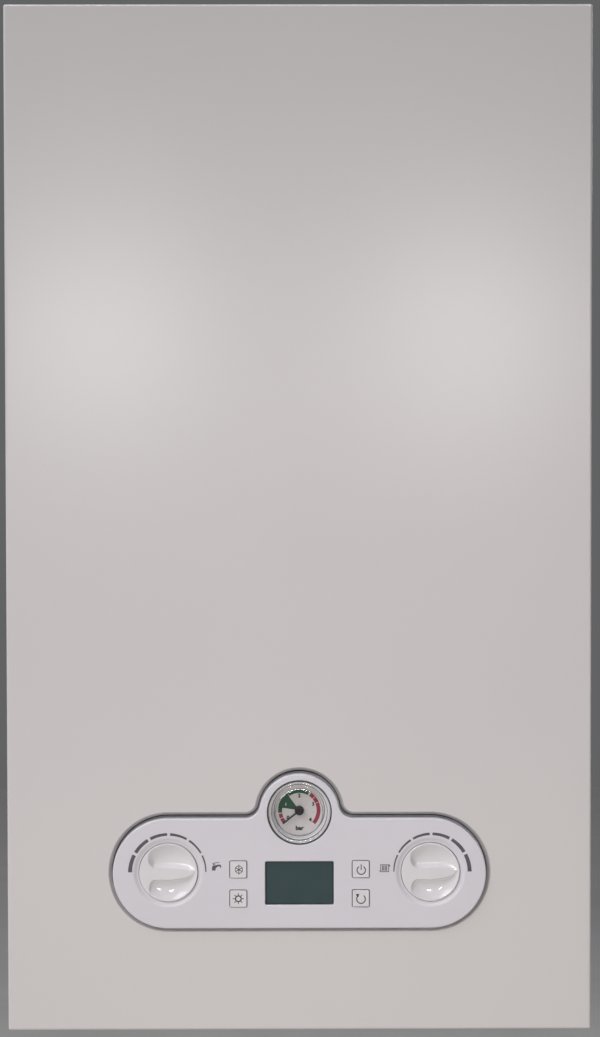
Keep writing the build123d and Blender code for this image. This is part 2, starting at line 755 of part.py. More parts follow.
def gauge_needle():
    back = dial_seat + 1.4
    hub = rod_out(0, 0, back, back + 2, needle_hub_radius)
    hub = fillet(hub.faces().sort_by(Axis.Y)[0].edges(), 0.6)
    upper = [(-6, 0.9), (0, 0.7), (needle_length, 0.25)]
    lower = [(x, -y) for x, y in reversed(upper)]
    arm = make_face(Polyline(*upper, *lower, close=True))
    needle = hub + Rot(0, -needle_rest_angle, 0) * front_plate(arm, back + 0.4, back + 1.0)
    needle += rod_out(0, 0, gauge_back + 7, back + 0.5, spindle_radius)
    return Pos(0, 0, gauge_height) * needle


def gauge_lens():
    # clear cap with stepped rings, drawn as radius and depth and turned about the gauge's axis
    back = box_front + 3
    front = fascia_front + gauge_proud
    inner = gauge_dial_radius + 0.1
    profile = [
        (inner, back),
        (gauge_bezel_radius, back),
        (gauge_bezel_radius, front - 1.6),
        (gauge_bezel_radius - 0.8, front - 0.8),
        (19.9, front - 0.8),
        (19.4, front),
        (18.2, front),
        (17.4, front - 1.2),
        (0, front - 0.9),
        (0, front - 2.4),
        (inner, front - 2.7),
    ]
    face = make_face(Polyline(*[(radius, -depth) for radius, depth in profile], close=True))
    return Pos(0, 0, gauge_height) * revolve(face, Axis.Y)


def box_screws():
    return [screw_out(x, height, box_rear, 12, back=True) for x, height in box_screw_places()]


# ---- burner chamber


def frame_ring(back, front, half, bottom, top, border):
    outer = block(-half, half, back, front, bottom, top)
    return outer - block(border - half, half - border, back - 1, front + 1, bottom + border, top - border)


def chamber_shell():
    shell = block(-chamber_half, chamber_half, chamber_back, chamber_front, chamber_bottom, chamber_top)
    shell -= block(
        chamber_sheet - chamber_half,
        chamber_half - chamber_sheet,
        chamber_back + chamber_sheet,
        chamber_front - chamber_sheet,
        chamber_bottom + chamber_sheet,
        chamber_top - chamber_sheet,
    )
    shell -= block(
        chamber_lip - chamber_half,
        chamber_half - chamber_lip,
        chamber_front - 2,
        chamber_front + 1,
        chamber_bottom + chamber_lip,
        chamber_top - chamber_lip,
    )
    shell -= rod_up(0, flue_depth, chamber_top - 2, chamber_top + 1, air_duct_radius - duct_wall)
    for name, (x, depth) in riser_places.items():
        radius = gas_tube_radius if name == "gas" else copper_radius
        shell -= rod_up(x, depth, chamber_bottom - 1, chamber_bottom + 2, radius + seat_gap)
    for x, depth in collar_screw_places():
        shell -= rod_up(x, depth, chamber_top - 2, chamber_top + 1, screw_radius + screw_gap)
    shell -= rod_up(*cable_riser, chamber_bottom - 1, chamber_bottom + 2, cable_radius + seat_gap)
    for x, height in chamber_screw_places():
        shell -= rod_out(x, height, chamber_front - 2, chamber_front + 1, screw_radius + screw_gap)
    return shell


def chamber_seal():
    seal = frame_ring(
        chamber_front, seal_front, chamber_half, chamber_bottom, chamber_top, seal_width
    )
    for x, height in chamber_screw_places():
        seal -= rod_out(x, height, chamber_front - 1, seal_front + 1, screw_radius + screw_gap)
    return seal


def chamber_cover():
    front = seal_front + chamber_sheet
    cover = block(-chamber_half, chamber_half, seal_front, front, chamber_bottom, chamber_top)
    # raised panel pressed into the sheet
    rise, margin = 5.0, 26.0
    half = chamber_half - margin
    low, high = chamber_bottom + margin + 44, chamber_top - margin
    raised = round_edges(block(-half, half, front, front + rise, low, high), Axis.Y, 12)
    raised = fillet(raised.faces().sort_by(Axis.Y)[0].edges(), 3)
    hollow = block(
        chamber_sheet - half, half - chamber_sheet, seal_front - 1, front + rise - chamber_sheet,
        low + chamber_sheet, high - chamber_sheet,
    )
    cover = cover + raised - round_edges(hollow, Axis.Y, 11)
    x, height = sight_place
    cover += rod_out(x, height, seal_front, front + 5, 18)
    cover -= rod_out(x, height, seal_front - 1, front + 6, 11)
    cover -= rod_out(x, height, front + 1, front + 6, 15 + screw_gap)
    for x, height in chamber_screw_places():
        cover -= rod_out(x, height, seal_front - 1, front + 1, screw_radius + screw_gap)
    return cover


def sight_glass():
    x, height = sight_place
    back = seal_front + chamber_sheet + 1
    glass = rod_out(x, height, back, back + 3, 15)
    return fillet(glass.edges(), 0.4)


def burner():
    # a steel tray with slotted bars that run from front to back
    half = burner_width / 2
    tray = block(-half - 6, half + 6, burner_back - 6, burner_front + 6, burner_bottom - 8, burner_bottom)
    rim = 4.0
    back, front = burner_back + rim, burner_front - rim
    tray -= block(rim - half, half - rim, back, front, burner_bottom - 9, burner_bottom + 1)
    pieces = [tray]
    pitch = burner_width / burner_bars
    bar_half = pitch / 2 - 2.2
    crown = burner_top - bar_half
    for index in range(burner_bars):
        x = (index + 0.5) * pitch - half
        bar = block(x - bar_half, x + bar_half, burner_back, burner_front, burner_bottom, crown)
        bar += rod_out(x, crown, burner_back, burner_front, bar_half)
        bar -= rod_out(x, burner_bottom + 12, burner_front - 20, burner_front + 1, 4.2)
        for step in range(9):
            depth = burner_back + 12 + step * 11
            bar -= block(x - bar_half, x + bar_half, depth, depth + 3, crown + 1.5, burner_top + 1)
        pieces.append(bar)
    return pieces


def gas_manifold():
    low, high = burner_bottom + 4, burner_bottom + 20
    half = burner_width / 2 - 4
    front, back = burner_front + 26, burner_front + 10
    rail = block(-half, half, back, front, low, high)
    rail = round_edges(rail, Axis.X, 2)
    rail -= block(2 - half, half - 2, back + 2, front - 2, low + 2, high - 2)
    pitch = burner_width / burner_bars
    for index in range(burner_bars):
        x = (index + 0.5) * pitch - burner_width / 2
        nozzle = rod_out(x, burner_bottom + 12, burner_front - 3, back, 3.0)
        rail += nozzle - rod_out(x, burner_bottom + 12, burner_front - 4, back, 0.8)
    # lugs that screw it to the burner's tray
    for edge in (-1, 1):
        low_x, high_x = sorted((edge * (half - 12), edge * half))
        rail += block(low_x, high_x, burner_front + 6, front, low - 12, low)
    x, depth = riser_places["gas"]
    return rail - rod_up(x, depth, low - 1, low + 3, gas_tube_radius - copper_wall)


def combustion_walls():
    # left, right, back and front of the space above the burner
    half = burner_width / 2 + insulation + 1
    return -half, half, burner_back - insulation - 1, burner_front + insulation + 1


def combustion_box():
    left, right, back, front = combustion_walls()
    bottom, top = burner_bottom - 8, combustion_top
    walls = block(left - 1, right + 1, back - 1, front + 1, burner_top, top)
    walls -= block(left, right, back, front, burner_top - 1, top + 1)
    # four legs carry it from the chamber's floor
    floor = chamber_bottom + chamber_sheet
    for x in (left - 1, right - 13):
        for depth in (back - 1, front):
            walls += block(x, x + 14, depth, depth + 1, floor, burner_top)
    for edge_left, edge_right in ((left - 1, left), (right, right + 1)):
        walls += block(edge_left, edge_right, back - 1, back + 14, floor, burner_top)
        walls += block(edge_left, edge_right, front - 14, front + 1, floor, burner_top)
    # rails that the burner's tray slides into
    inner = burner_width / 2 + 6
    for low, high in ((left - 1, -inner + 6), (inner - 6, right + 1)):
        walls += block(low, high, back + 14, front - 14, bottom - 1, bottom)
    walls += block(left - 1, left, back, front, bottom - 1, bottom + 6)
    walls += block(right, right + 1, back, front, bottom - 1, bottom + 6)
    for x, height in electrode_places:
        walls -= rod_out(x, height, front - 1, front + 2, 4 + seat_gap)
    return walls


def insulation_panels():
    left, right, back, front = combustion_walls()
    low, high = burner_top + 1, combustion_top
    side_left = block(left, left + insulation, back, front, low, high)
    side_right = block(right - insulation, right, back, front, low, high)
    rear = block(left + insulation, right - insulation, back, back + insulation, low, high)
    face = block(left + insulation, right - insulation, front - insulation, front, low, high)
    for x, height in electrode_places:
        face -= rod_out(x, height, front - insulation - 1, front + 1, 4 + seat_gap)
    return [side_left, side_right, rear, face]


def electrodes():
    front = combustion_walls()[3]
    pieces = []
    for x, height in electrode_places:
        ceramic = rod_out(x, height, front - insulation - 6, front + 14, 4)
        collar = rod_out(x, height, front + 1 + seat_gap, front + 4, 6.5)
        tip = pipe(
            [
                (x, front - insulation - 6, height),
                (x, front - insulation - 20, height),
                (x, front - insulation - 26, height - 9),
            ],
            1.2,
            4,
        )
        pieces.append(ceramic + collar + tip + rod_out(x, height, front + 14, front + 19, 1.5))
    return pieces


def exchanger_span():
    # left end, right end and the tubes' depths
    left, right, back, front = combustion_walls()
    pitch = (front - back - 20) / exchanger_tubes
    depths = [back + 10 + pitch * (index + 0.5) for index in range(exchanger_tubes)]
    return left, right, depths


def heat_exchanger():
    left, right = exchanger_span()[:2]
    back, front = combustion_walls()[2:]
    middle = exchanger_middle
    core = block(left, left + 2, back, front, combustion_top, exchanger_top)
    core += block(right - 2, right, back, front, combustion_top, exchanger_top)
    for low, high in ((back, back + 1.5), (front - 1.5, front)):
        core += block(left, right, low, high, combustion_top, exchanger_top)
    pitch = (right - left - 4) / (fin_count + 1)
    fins = []
    for index in range(fin_count):
        x = left + 2 + pitch * (index + 1)
        left_face, right_face = x - fin_thickness / 2, x + fin_thickness / 2
        fins.append(block(left_face, right_face, back + 1, front - 1, middle - 20, middle + 20))
    core = core + fins
    bore = exchanger_tube_radius - exchanger_tube_wall
    return core + exchanger_run(exchanger_tube_radius) - exchanger_run(bore)


def exchanger_run(radius):
    # straight tubes joined in pairs by return bends, alternately at the left and the right
    left, right, depths = exchanger_span()
    middle = exchanger_middle
    reach = 8.0
    run = [rod_across(depth, middle, left - reach, right + reach, radius) for depth in depths]
    for index, (near, far) in enumerate(zip(depths, depths[1:])):
        edge = right + reach if index % 2 else left - reach
        pivot = Axis((edge, -(near + far) / 2, middle), (0, 0, 1))
        start = Plane(origin=(edge, -near, middle), z_dir=(1, 0, 0))
        run.append(revolve(start * Circle(radius), pivot, -180 if index % 2 else 180))
    return Part() + run


def exhaust_hood():
    left, right, back, front = combustion_walls()

    def pyramid(inset, low, high):
        base = Pos((left + right) / 2, -(back + front) / 2, low) * Rectangle(
            right - left - 2 * inset, front - back - 2 * inset
        )
        crown = Pos(-fan_offset, -flue_depth, high) * Rectangle(90 - 2 * inset, 84 - 2 * inset)
        return loft([base, crown])

    rim = block(left, right, back, front, exchanger_top, exchanger_top + 10)
    rim -= block(left + 1, right - 1, back + 1, front - 1, exchanger_top - 1, exchanger_top + 11)
    hood = pyramid(0, exchanger_top + 10, hood_top) - pyramid(1, exchanger_top + 9.99, hood_top - 1)
    hood -= rod_up(-fan_offset, inlet_depth, hood_top - 3, hood_top + 1, 11)
    return rim + hood


def fan_housing():
    back, front = flue_depth - fan_depth / 2, flue_depth + fan_depth / 2
    x = -fan_offset
    outer = fan_radius + fan_wall
    shell = rod_out(x, fan_centre, back, front, outer)
    throat_top = fan_centre + outer + 12
    shell += block(-28, outer - fan_offset, back, front, fan_centre, throat_top)
    shell += block(x - 30, x + 30, back - 26, back, hood_top, fan_centre + 26)
    shell += block(x - 40, x + 40, back - 26, front, hood_top, hood_top + 4)
    cavity = rod_out(x, fan_centre, back + fan_wall, front - fan_wall, fan_radius)
    inside_back, inside_front = back + fan_wall, front - fan_wall
    throat_left, throat_right = fan_wall - 28, outer - fan_offset - fan_wall
    cavity += block(throat_left, throat_right, inside_back, inside_front, fan_centre, throat_top - fan_wall)
    duct_half = 30 - fan_wall
    duct_back, duct_front = back - 26 + fan_wall, back - fan_wall
    duct_top = fan_centre + 26 - fan_wall
    cavity += block(x - duct_half, x + duct_half, duct_back, duct_front, hood_top + 4, duct_top)
    cavity += rod_out(x, fan_centre, back - fan_wall - 1, back + fan_wall + 1, 22)
    cavity += rod_up(x, inlet_depth, hood_top - 1, hood_top + 5, 11)
    cavity += rod_out(x, fan_centre, front - fan_wall - 1, front + 1, 4.5)
    # round drum and outlet tube that slides into the flue collar
    outlet_top = chamber_top - 11
    shell += rod_up(0, flue_depth, throat_top - 14, throat_top, flue_radius)
    cavity += rod_up(0, flue_depth, throat_top - 14 + fan_wall, throat_top - fan_wall, flue_radius - fan_wall)
    shell += rod_up(0, flue_depth, throat_top - fan_wall, outlet_top, fan_outlet_radius)
    cavity += rod_up(0, flue_depth, throat_top - 5, outlet_top + 1, fan_outlet_radius - 1.5)
    return shell - cavity


def fan_impeller():
    middle = flue_depth - 2
    back, front = middle - impeller_depth / 2, middle + impeller_depth / 2
    disc = rod_out(0, 0, front - 1.5, front, impeller_radius)
    ring = rod_out(0, 0, back, back + 1.5, impeller_radius)
    ring -= rod_out(0, 0, back - 1, back + 2, impeller_radius - 9)
    wheel = disc + ring + rod_out(0, 0, middle, front, 8)
    blade = block(-0.5, 0.5, back, front, impeller_radius - 9, impeller_radius - 0.5)
    wheel += [Rot(0, index * 360 / impeller_blades, 0) * blade for index in range(impeller_blades)]
    wheel += rod_out(0, 0, front, fan_motor_back + 20, 3)
    return Pos(-fan_offset, 0, fan_centre) * wheel


def fan_motor():
    back = fan_motor_back
    body = rod_out(0, 0, back + 8, back + 40, 27)
    body = fillet(body.faces().sort_by(Axis.Y)[0].edges(), 3)
    body += rod_out(0, 0, back, back + 9, 12)
    # laminated core across the can, and three feet on the housing
    body += block(-33, 33, back + 16, back + 32, -22, 22)
    for turn in (90, 210, 330):
        x, height = 21 * math.cos(math.radians(turn)), 21 * math.sin(math.radians(turn))
        body += rod_out(x, height, back, back + 9, 3)
    body -= rod_out(0, 0, back - 1, back + 24, shaft_bore)
    return Pos(-fan_offset, 0, fan_centre) * body


def air_pressure_switch():
    x, height = 128.0, 630.0
    back = chamber_back + chamber_sheet
    body = rod_out(x, height, back + 6, back + 22, 31)
    body = fillet(body.edges(), 2)
    body += rod_out(x, height, back + 22, back + 34, 16)
    body += rod_out(x, height, back, back + 7, 12)
    body += rod_out(x - 10, height - 20, back + 21, back + 36, 2.5)
    body += rod_out(x + 10, height - 20, back + 21, back + 36, 2.5)
    return body


def flue_seal():
    top = chamber_top + flue_seal_thickness
    seal = rod_up(0, flue_depth, chamber_top, top, collar_flange_radius - 1)
    seal -= rod_up(0, flue_depth, chamber_top - 1, top + 1, air_duct_radius - duct_wall)
    for x, depth in collar_screw_places():
        seal -= rod_up(x, depth, chamber_top - 1, top + 1, screw_radius + screw_gap)
    return seal


def collar_screw_places():
    reach = (collar_flange_radius + air_duct_radius) / 2 * math.sqrt(0.5)
    return [(x, flue_depth + step) for x in (-reach, reach) for step in (-reach, reach)]


def flue_collar():
    seat = chamber_top + flue_seal_thickness
    deck = seat + 2.5
    top = deck + collar_height
    collar = rod_up(0, flue_depth, seat, deck, collar_flange_radius)
    collar += rod_up(0, flue_depth, deck, top, air_duct_radius)
    collar -= rod_up(0, flue_depth, seat - 1, top + 1, air_duct_radius - duct_wall)
    # exhaust spigot inside the air duct, held by three webs
    low = chamber_top - 34
    spigot = rod_up(0, flue_depth, low, top - 4, flue_radius + duct_wall)
    for turn in (30, 150, 270):
        web = block(flue_radius, air_duct_radius - duct_wall / 2, -1.5, 1.5, seat, deck + 8)
        spigot += Pos(0, -flue_depth, 0) * Rot(0, 0, turn) * web
    spigot -= rod_up(0, flue_depth, low - 1, top + 1, flue_radius - 2)
    spigot -= rod_up(0, flue_depth, seat - 6, top + 1, flue_radius)
    collar += spigot
    for x, depth in collar_screw_places():
        collar -= rod_up(x, depth, seat - 1, deck + 1, screw_radius + screw_gap)
    return collar


# ---- water and gas


def vessel_shape(inset):
    half = vessel_thickness / 2 - inset
    radius = vessel_radius - inset
    shoulder = radius - 26
    line = Polyline((0, half), (shoulder, half - 6))
    line += ThreePointArc((shoulder, half - 6), (radius - 5, half - 15), (radius, half - 26))
    line += Line((radius, half - 26), (radius, 26 - half))
    line += ThreePointArc((radius, 26 - half), (radius - 5, 15 - half), (shoulder, 6 - half))
    line += Polyline((shoulder, 6 - half), (0, -half), (0, half))
    return revolve(make_face(line), Axis.Y)


def expansion_vessel():
    shell = vessel_shape(0)
    rim = Rot(90, 0, 0) * Cylinder(vessel_radius + vessel_rim, 5)
    shell = shell + rim - vessel_shape(vessel_sheet)
    shell = Pos(0, -vessel_centre_depth, vessel_centre) * shell
    stem_low = vessel_stem_end
    stem = rod_up(0, vessel_centre_depth, stem_low, vessel_centre - vessel_radius + vessel_sheet, 7)
    return shell + stem - rod_up(0, vessel_centre_depth, stem_low - 1, vessel_centre - vessel_radius + 2, 4)


def plate_ports():
    # x and height of the ports, all on the face that looks forward
    reach = plate_length / 2 - 17
    return [(x, plate_bottom + step) for x in (-reach, reach) for step in (17.0, plate_height - 17.0)]


def plate_exchanger():
    leaves = []
    pitch = plate_depth / plate_count
    for index in range(plate_count):
        back = plate_back + index * pitch
        inset = 0 if index % 2 else 1.2
        left, right = inset - plate_length / 2, plate_length / 2 - inset
        low, high = plate_bottom + inset, plate_bottom + plate_height - inset
        leaf = block(left, right, back, back + pitch, low, high)
        leaves.append(round_edges(leaf, Axis.Y, 14))
    return Part() + leaves


def arm(x_from, x_to, height):
    # branch that runs from a block to a port of the plate exchanger and ends on its face
    face = plate_back + plate_depth
    radius = 11.0
    low, high = sorted((x_from, x_to))
    branch = rod_across(port_depth, height, low, high, radius)
    branch += rod_out(x_to, height, face, port_depth, radius - 1)
    return branch


def threaded_end(x, radius, top):
    # male thread under the casing, with a hexagon above the connection plate
    end = rod_up(x, port_depth, -port_drop, top, radius)
    end = end + Pos(x, -port_depth, plate_deck + 6) * extrude(RegularPolygon(radius + 3.4, 6), 9)
    return end


def threaded_bore(x, radius, top):
    return rod_up(x, port_depth, -port_drop - 1, top, radius - 3.2)


def flow_block():
    left_low, left_high = plate_ports()[:2]
    body = rod_up(flow_port, port_depth, plate_deck + 8, block_top, block_radius)
    body += threaded_end(flow_port, large_thread_radius, plate_deck + 9)
    body += arm(flow_port, left_high[0], left_high[1])
    body += arm(tap_port, left_low[0], left_low[1])
    body += rod_up(tap_port, port_depth, plate_deck + 12, left_low[1], 9)
    body += threaded_end(tap_port, small_thread_radius, plate_deck + 13)
    body += rod_up(flow_port, port_depth, block_top - 8, block_top, block_radius + 3)
    # cast web between the two branches
    body += block(left_low[0] - 8, left_low[0] + 8, port_depth - 4, port_depth + 4, left_low[1], left_high[1])
    # side inlet for the pipe from the heat exchanger
    body += rod_across(port_depth, flow_inlet_height, flow_port - block_radius - 2, flow_port, 12)
    body -= rod_up(flow_port, port_depth, diverter_floor, block_top + 1, block_bore)
    body -= threaded_bore(flow_port, large_thread_radius, diverter_floor + 1)
    body -= threaded_bore(tap_port, small_thread_radius, left_low[1])
    body -= rod_across(port_depth, left_high[1], flow_port, left_high[0] - 4, 7)
    body -= rod_across(
        port_depth, flow_inlet_height, flow_port - block_radius - 3, flow_port, copper_radius - copper_wall
    )
    return body


def diverter_stem():
    # spindle with two plugs that sends the flow to the radiators or to the plate exchanger
    low = diverter_floor + 14
    shape = rod_up(flow_port, port_depth, low, block_top + 12, 3)
    shape += rod_up(flow_port, port_depth, low, low + 6, block_bore - 1)
    shape += rod_up(flow_port, port_depth, low + 40, low + 46, block_bore - 1)
    return shape


def diverter_motor():
    half = 26.0
    back, front = port_depth - half, port_depth + half
    body = block(flow_port - half, flow_port + half, back, front, block_top + 4, block_top + 54)
    body = fillet(body.edges(), 4)
    body += rod_up(flow_port, port_depth, block_top, block_top + 5, block_radius + 1)
    body -= rod_up(flow_port, port_depth, block_top - 1, block_top + 30, shaft_bore)
    return body


def return_block():
    right_low, right_high = plate_ports()[2:]
    body = rod_up(return_port, port_depth, plate_deck + 8, block_top, block_radius)
    body += threaded_end(return_port, large_thread_radius, plate_deck + 9)
    body += arm(return_port, right_high[0], right_high[1])
    body += arm(cold_port, right_low[0], right_low[1])
    body += rod_up(cold_port, port_depth, plate_deck + 12, right_low[1], 9)
    body += threaded_end(cold_port, small_thread_radius, plate_deck + 13)
    # filling branch between the cold inlet and the return, with the tap's bonnet hanging under it
    fill_x, fill_depth = filling_place
    fill_height = 40.0
    body += pipe(
        [
            (cold_port, port_depth, fill_height),
            (cold_port, fill_depth, fill_height),
            (return_port, fill_depth, fill_height),
            (return_port, port_depth, fill_height),
        ],
        6,
        9,
    )
    body += rod_up(fill_x, fill_depth, fill_height - 20, fill_height, 9)
    body -= rod_up(fill_x, fill_depth, fill_height - 21, fill_height - 4, shaft_bore)
    # boss for the relief valve, and the branch for the vessel's pipe
    body += rod_out(return_port, relief_height, port_depth, relief_seat, 11)
    body += rod_out(return_port, vessel_inlet_height, vessel_inlet_depth, port_depth, 9)
    body -= rod_up(return_port, port_depth, diverter_floor, block_top + 1, block_bore)
    body -= threaded_bore(return_port, large_thread_radius, diverter_floor + 1)
    body -= threaded_bore(cold_port, small_thread_radius, right_low[1])
    return body


def relief_valve():
    # body with an outlet that turns down through the connection plate
    back = relief_seat
    axis = return_port
    body = rod_out(axis, relief_height, back, back + 30, 13)
    x, depth = relief_outlet_place
    route = [(axis, depth, relief_height), (x, depth, relief_height), (x, depth, relief_pipe_end)]
    body += pipe(route, relief_pipe_radius, 2 * relief_pipe_radius)
    # bead that a discharge pipe is pushed up to
    bead_low = relief_pipe_end + relief_spigot_length
    body += rod_up(x, depth, bead_low, bead_low + 3, relief_pipe_radius + 2.5)
    body -= rod_out(axis, relief_height, back + 10, back + 31, shaft_bore)
    body -= rod_up(x, depth, relief_pipe_end - 1, relief_height - 24, relief_pipe_radius - 2)
    return body


def relief_knob():
    back = relief_seat + 30
    axis = return_port
    cap = rod_out(axis, relief_height, back + 0.4, back + 22, 14)
    cap = fillet(cap.faces().sort_by(Axis.Y)[0].edges(), 3)
    grips = []
    for index in range(8):
        turn = math.radians(index * 45)
        x, height = axis + 15 * math.cos(turn), relief_height + 15 * math.sin(turn)
        grips.append(rod_out(x, height, back, back + 23, 3))
    cap -= grips
    return cap + rod_out(axis, relief_height, back - 18, back + 2, 3)


def filling_knob():
    x, depth = filling_place
    top = 18.0
    cap = rod_up(x, depth, -16, -2, 11)
    cap = fillet(cap.edges(), 2)
    for index in range(10):
        turn = math.radians(index * 36)
        cap -= rod_up(x + 12.4 * math.cos(turn), depth + 12.4 * math.sin(turn), -17, -1, 2.4)
    return cap + rod_up(x, depth, -4, top + 14, 3)


def pump_body():
    # volute with its inlet on the return block and its outlet at the top
    back, front = port_depth - 20, port_depth + 20
    body = rod_out(return_port, pump_height, back, front, pump_radius)
    body = fillet(body.faces().filter_by(Axis.Y).edges(), 4)
    body += rod_up(return_port, port_depth, block_top, pump_height, 17)
    outlet = return_port + pump_outlet_offset
    body += rod_up(outlet, port_depth, pump_height, pump_outlet_height, 12)
    body += rod_up(air_vent_x, port_depth, pump_height, pump_outlet_height - 8, 9)
    body += rod_out(return_port, pump_height, front - 2, front + 6, pump_radius)
    body -= rod_out(return_port, pump_height, back + 5, front + 7, 29)
    body -= rod_up(return_port, port_depth, block_top - 1, pump_height, 12)
    body -= rod_up(outlet, port_depth, pump_height, pump_outlet_height + 1, copper_radius - copper_wall)
    return body


def pump_motor():
    back = port_depth + 26
    body = rod_out(return_port, pump_height, back, back + 62, pump_motor_radius)
    body = fillet(body.faces().sort_by(Axis.Y)[0].edges(), 5)
    terminal_box = (return_port - pump_motor_radius - 12, return_port - 20)
    body += block(*terminal_box, back + 10, back + 52, pump_height - 22, pump_height + 22)
    body -= rod_out(return_port, pump_height, back - 1, back + 50, 21)
    body -= rod_out(return_port, pump_height, back + 49, back + 58, shaft_bore)
    return body


def pump_rotor():
    back = port_depth - 12
    shape = rod_out(0, 0, back, back + 10, 26)
    shape += rod_out(0, 0, back, port_depth + 82, shaft_radius)
    shape += rod_out(0, 0, port_depth + 30, port_depth + 70, 18)
    for index in range(6):
        shape -= Rot(0, index * 60, 0) * block(-1.5, 1.5, back + 3, back + 11, 14, 27)
    return Pos(return_port, 0, pump_height) * shape


def air_vent():
    x, low = air_vent_x, pump_outlet_height - 8
    body = rod_up(x, port_depth, low, low + 18, 12)
    body = fillet(body.faces().sort_by(Axis.Z)[-1].edges(), 3)
    return body + rod_up(x, port_depth, low + 17, low + 23, 4)


def gas_valve():
    left, right, back, front = -34.0, 34.0, 124.0, 184.0
    low, high = 150.0, 212.0
    body = block(left, right, back, front, low, high)
    body = fillet(body.edges(), 5)
    x, depth = gas_port, gas_axis_depth
    body += rod_up(x, depth, low - 12, low + 2, 14)
    body += rod_up(x, depth, high - 2, high + 10, 14)
    body += rod_out(left + 18, low + 18, front - 2, front + 8, 9)
    body += block(left - 16, left + 2, back + 10, gas_coil_front, low + 12, high - 12)
    body -= rod_up(x, depth, low - 13, low + 10, copper_radius - copper_wall)
    body -= rod_up(x, depth, high - 10, high + 11, gas_tube_radius - copper_wall)
    return body


def gas_pipes():
    # inlet tube with its threaded end, and the tube up to the burner's manifold
    inlet_top = 138.0
    lower = pipe(
        [
            (gas_port, port_depth, plate_deck + 10),
            (gas_port, port_depth, 70),
            (gas_port, gas_axis_depth, 100),
            (gas_port, gas_axis_depth, inlet_top),
        ],
        copper_radius,
        22,
    )
    lower += threaded_end(gas_port, large_thread_radius, plate_deck + 11)
    lower -= threaded_bore(gas_port, large_thread_radius, plate_deck + 9)
    x, depth = riser_places["gas"]
    upper = pipe(
        [
            (gas_port, gas_axis_depth, 222),
            (gas_port, gas_axis_depth, 244),
            (x, depth, 250),
            (x, depth, burner_bottom + 4),
        ],
        gas_tube_radius,
        14,
        gas_tube_radius - copper_wall,
    )
    return [lower, upper]


def heating_pipes():
    bore = copper_radius - copper_wall
    left, right, depths = exchanger_span()
    middle = exchanger_middle
    flow_x, flow_depth = riser_places["flow"]
    flow = pipe(
        [
            (left - 8, depths[-1], middle),
            (flow_x, depths[-1], middle),
            (flow_x, depths[-1], middle - 60),
            (flow_x, flow_depth, middle - 110),
            (flow_x, flow_depth, 200),
            (flow_x, port_depth, 170),
            (flow_x, port_depth, flow_inlet_height),
            (flow_port - block_radius - 2, port_depth, flow_inlet_height),
        ],
        copper_radius,
        10,
        bore,
    )
    return_x = riser_places["return"][0]
    back = pipe(
        [
            (return_x, port_depth, pump_outlet_height),
            (return_x, port_depth, chamber_bottom + 40),
            (return_x, depths[0], chamber_bottom + 80),
            (return_x, depths[0], middle),
            (right + 8, depths[0], middle),
        ],
        copper_radius,
        12,
        bore,
    )
    vessel = pipe(
        [
            (0, vessel_centre_depth, vessel_stem_end),
            (0, vessel_centre_depth, 250),
            (return_port, vessel_centre_depth, 210),
            (return_port, vessel_centre_depth, vessel_inlet_height),
            (return_port, vessel_inlet_depth, vessel_inlet_height),
        ],
        5,
        14,
        4,
    )
    return [flow, back, vessel]


def capillary():
    # thin tube from the flow block to the back of the gauge
    x, height = capillary_outlet
    inside = gauge_back - 3
    return pipe(
        [
            (flow_port, port_depth + block_radius + seat_gap, 96),
            (flow_port, 190, 96),
            (x - 4, 197, 124),
            (x, 203, height),
            (x, 232, height),
            (x + 16, inside, height + 6),
            (-40, inside, height + 3),
            (-4 - seat_gap, inside, gauge_height),
        ],
        capillary_radius,
        6,
    )


def wiring_loom():
    # leads from the control box to the gas valve, the pump and the fan
    height = cable_outlet_height
    left, middle, right = cable_outlets
    start, turn = box_rear - seat_gap, box_rear - 13
    valve = pipe(
        [(left, start, height), (left, turn, height), (left, turn, 180), (left, gas_coil_front, 180)],
        cable_radius,
        8,
    )
    terminal = port_depth + 57
    pump = pipe(
        [
            (right, start, height),
            (right, turn, height),
            (right, turn, 140),
            (right, terminal, 155),
            (right, terminal, pump_height - 22),
        ],
        cable_radius,
        8,
    )
    x, depth = cable_riser
    fan = pipe(
        [
            (middle, start, height),
            (middle, turn, height),
            (middle, turn, 225),
            (x, depth, 246),
            (x, depth, fan_centre),
            (33 - fan_offset, depth, fan_centre),
        ],
        cable_radius,
        8,
    )
    return [valve, pump, fan]


def solids_of(shape):
    shapes = shape if isinstance(shape, list) else [shape]
    return [solid for one in shapes for solid in one.solids()]


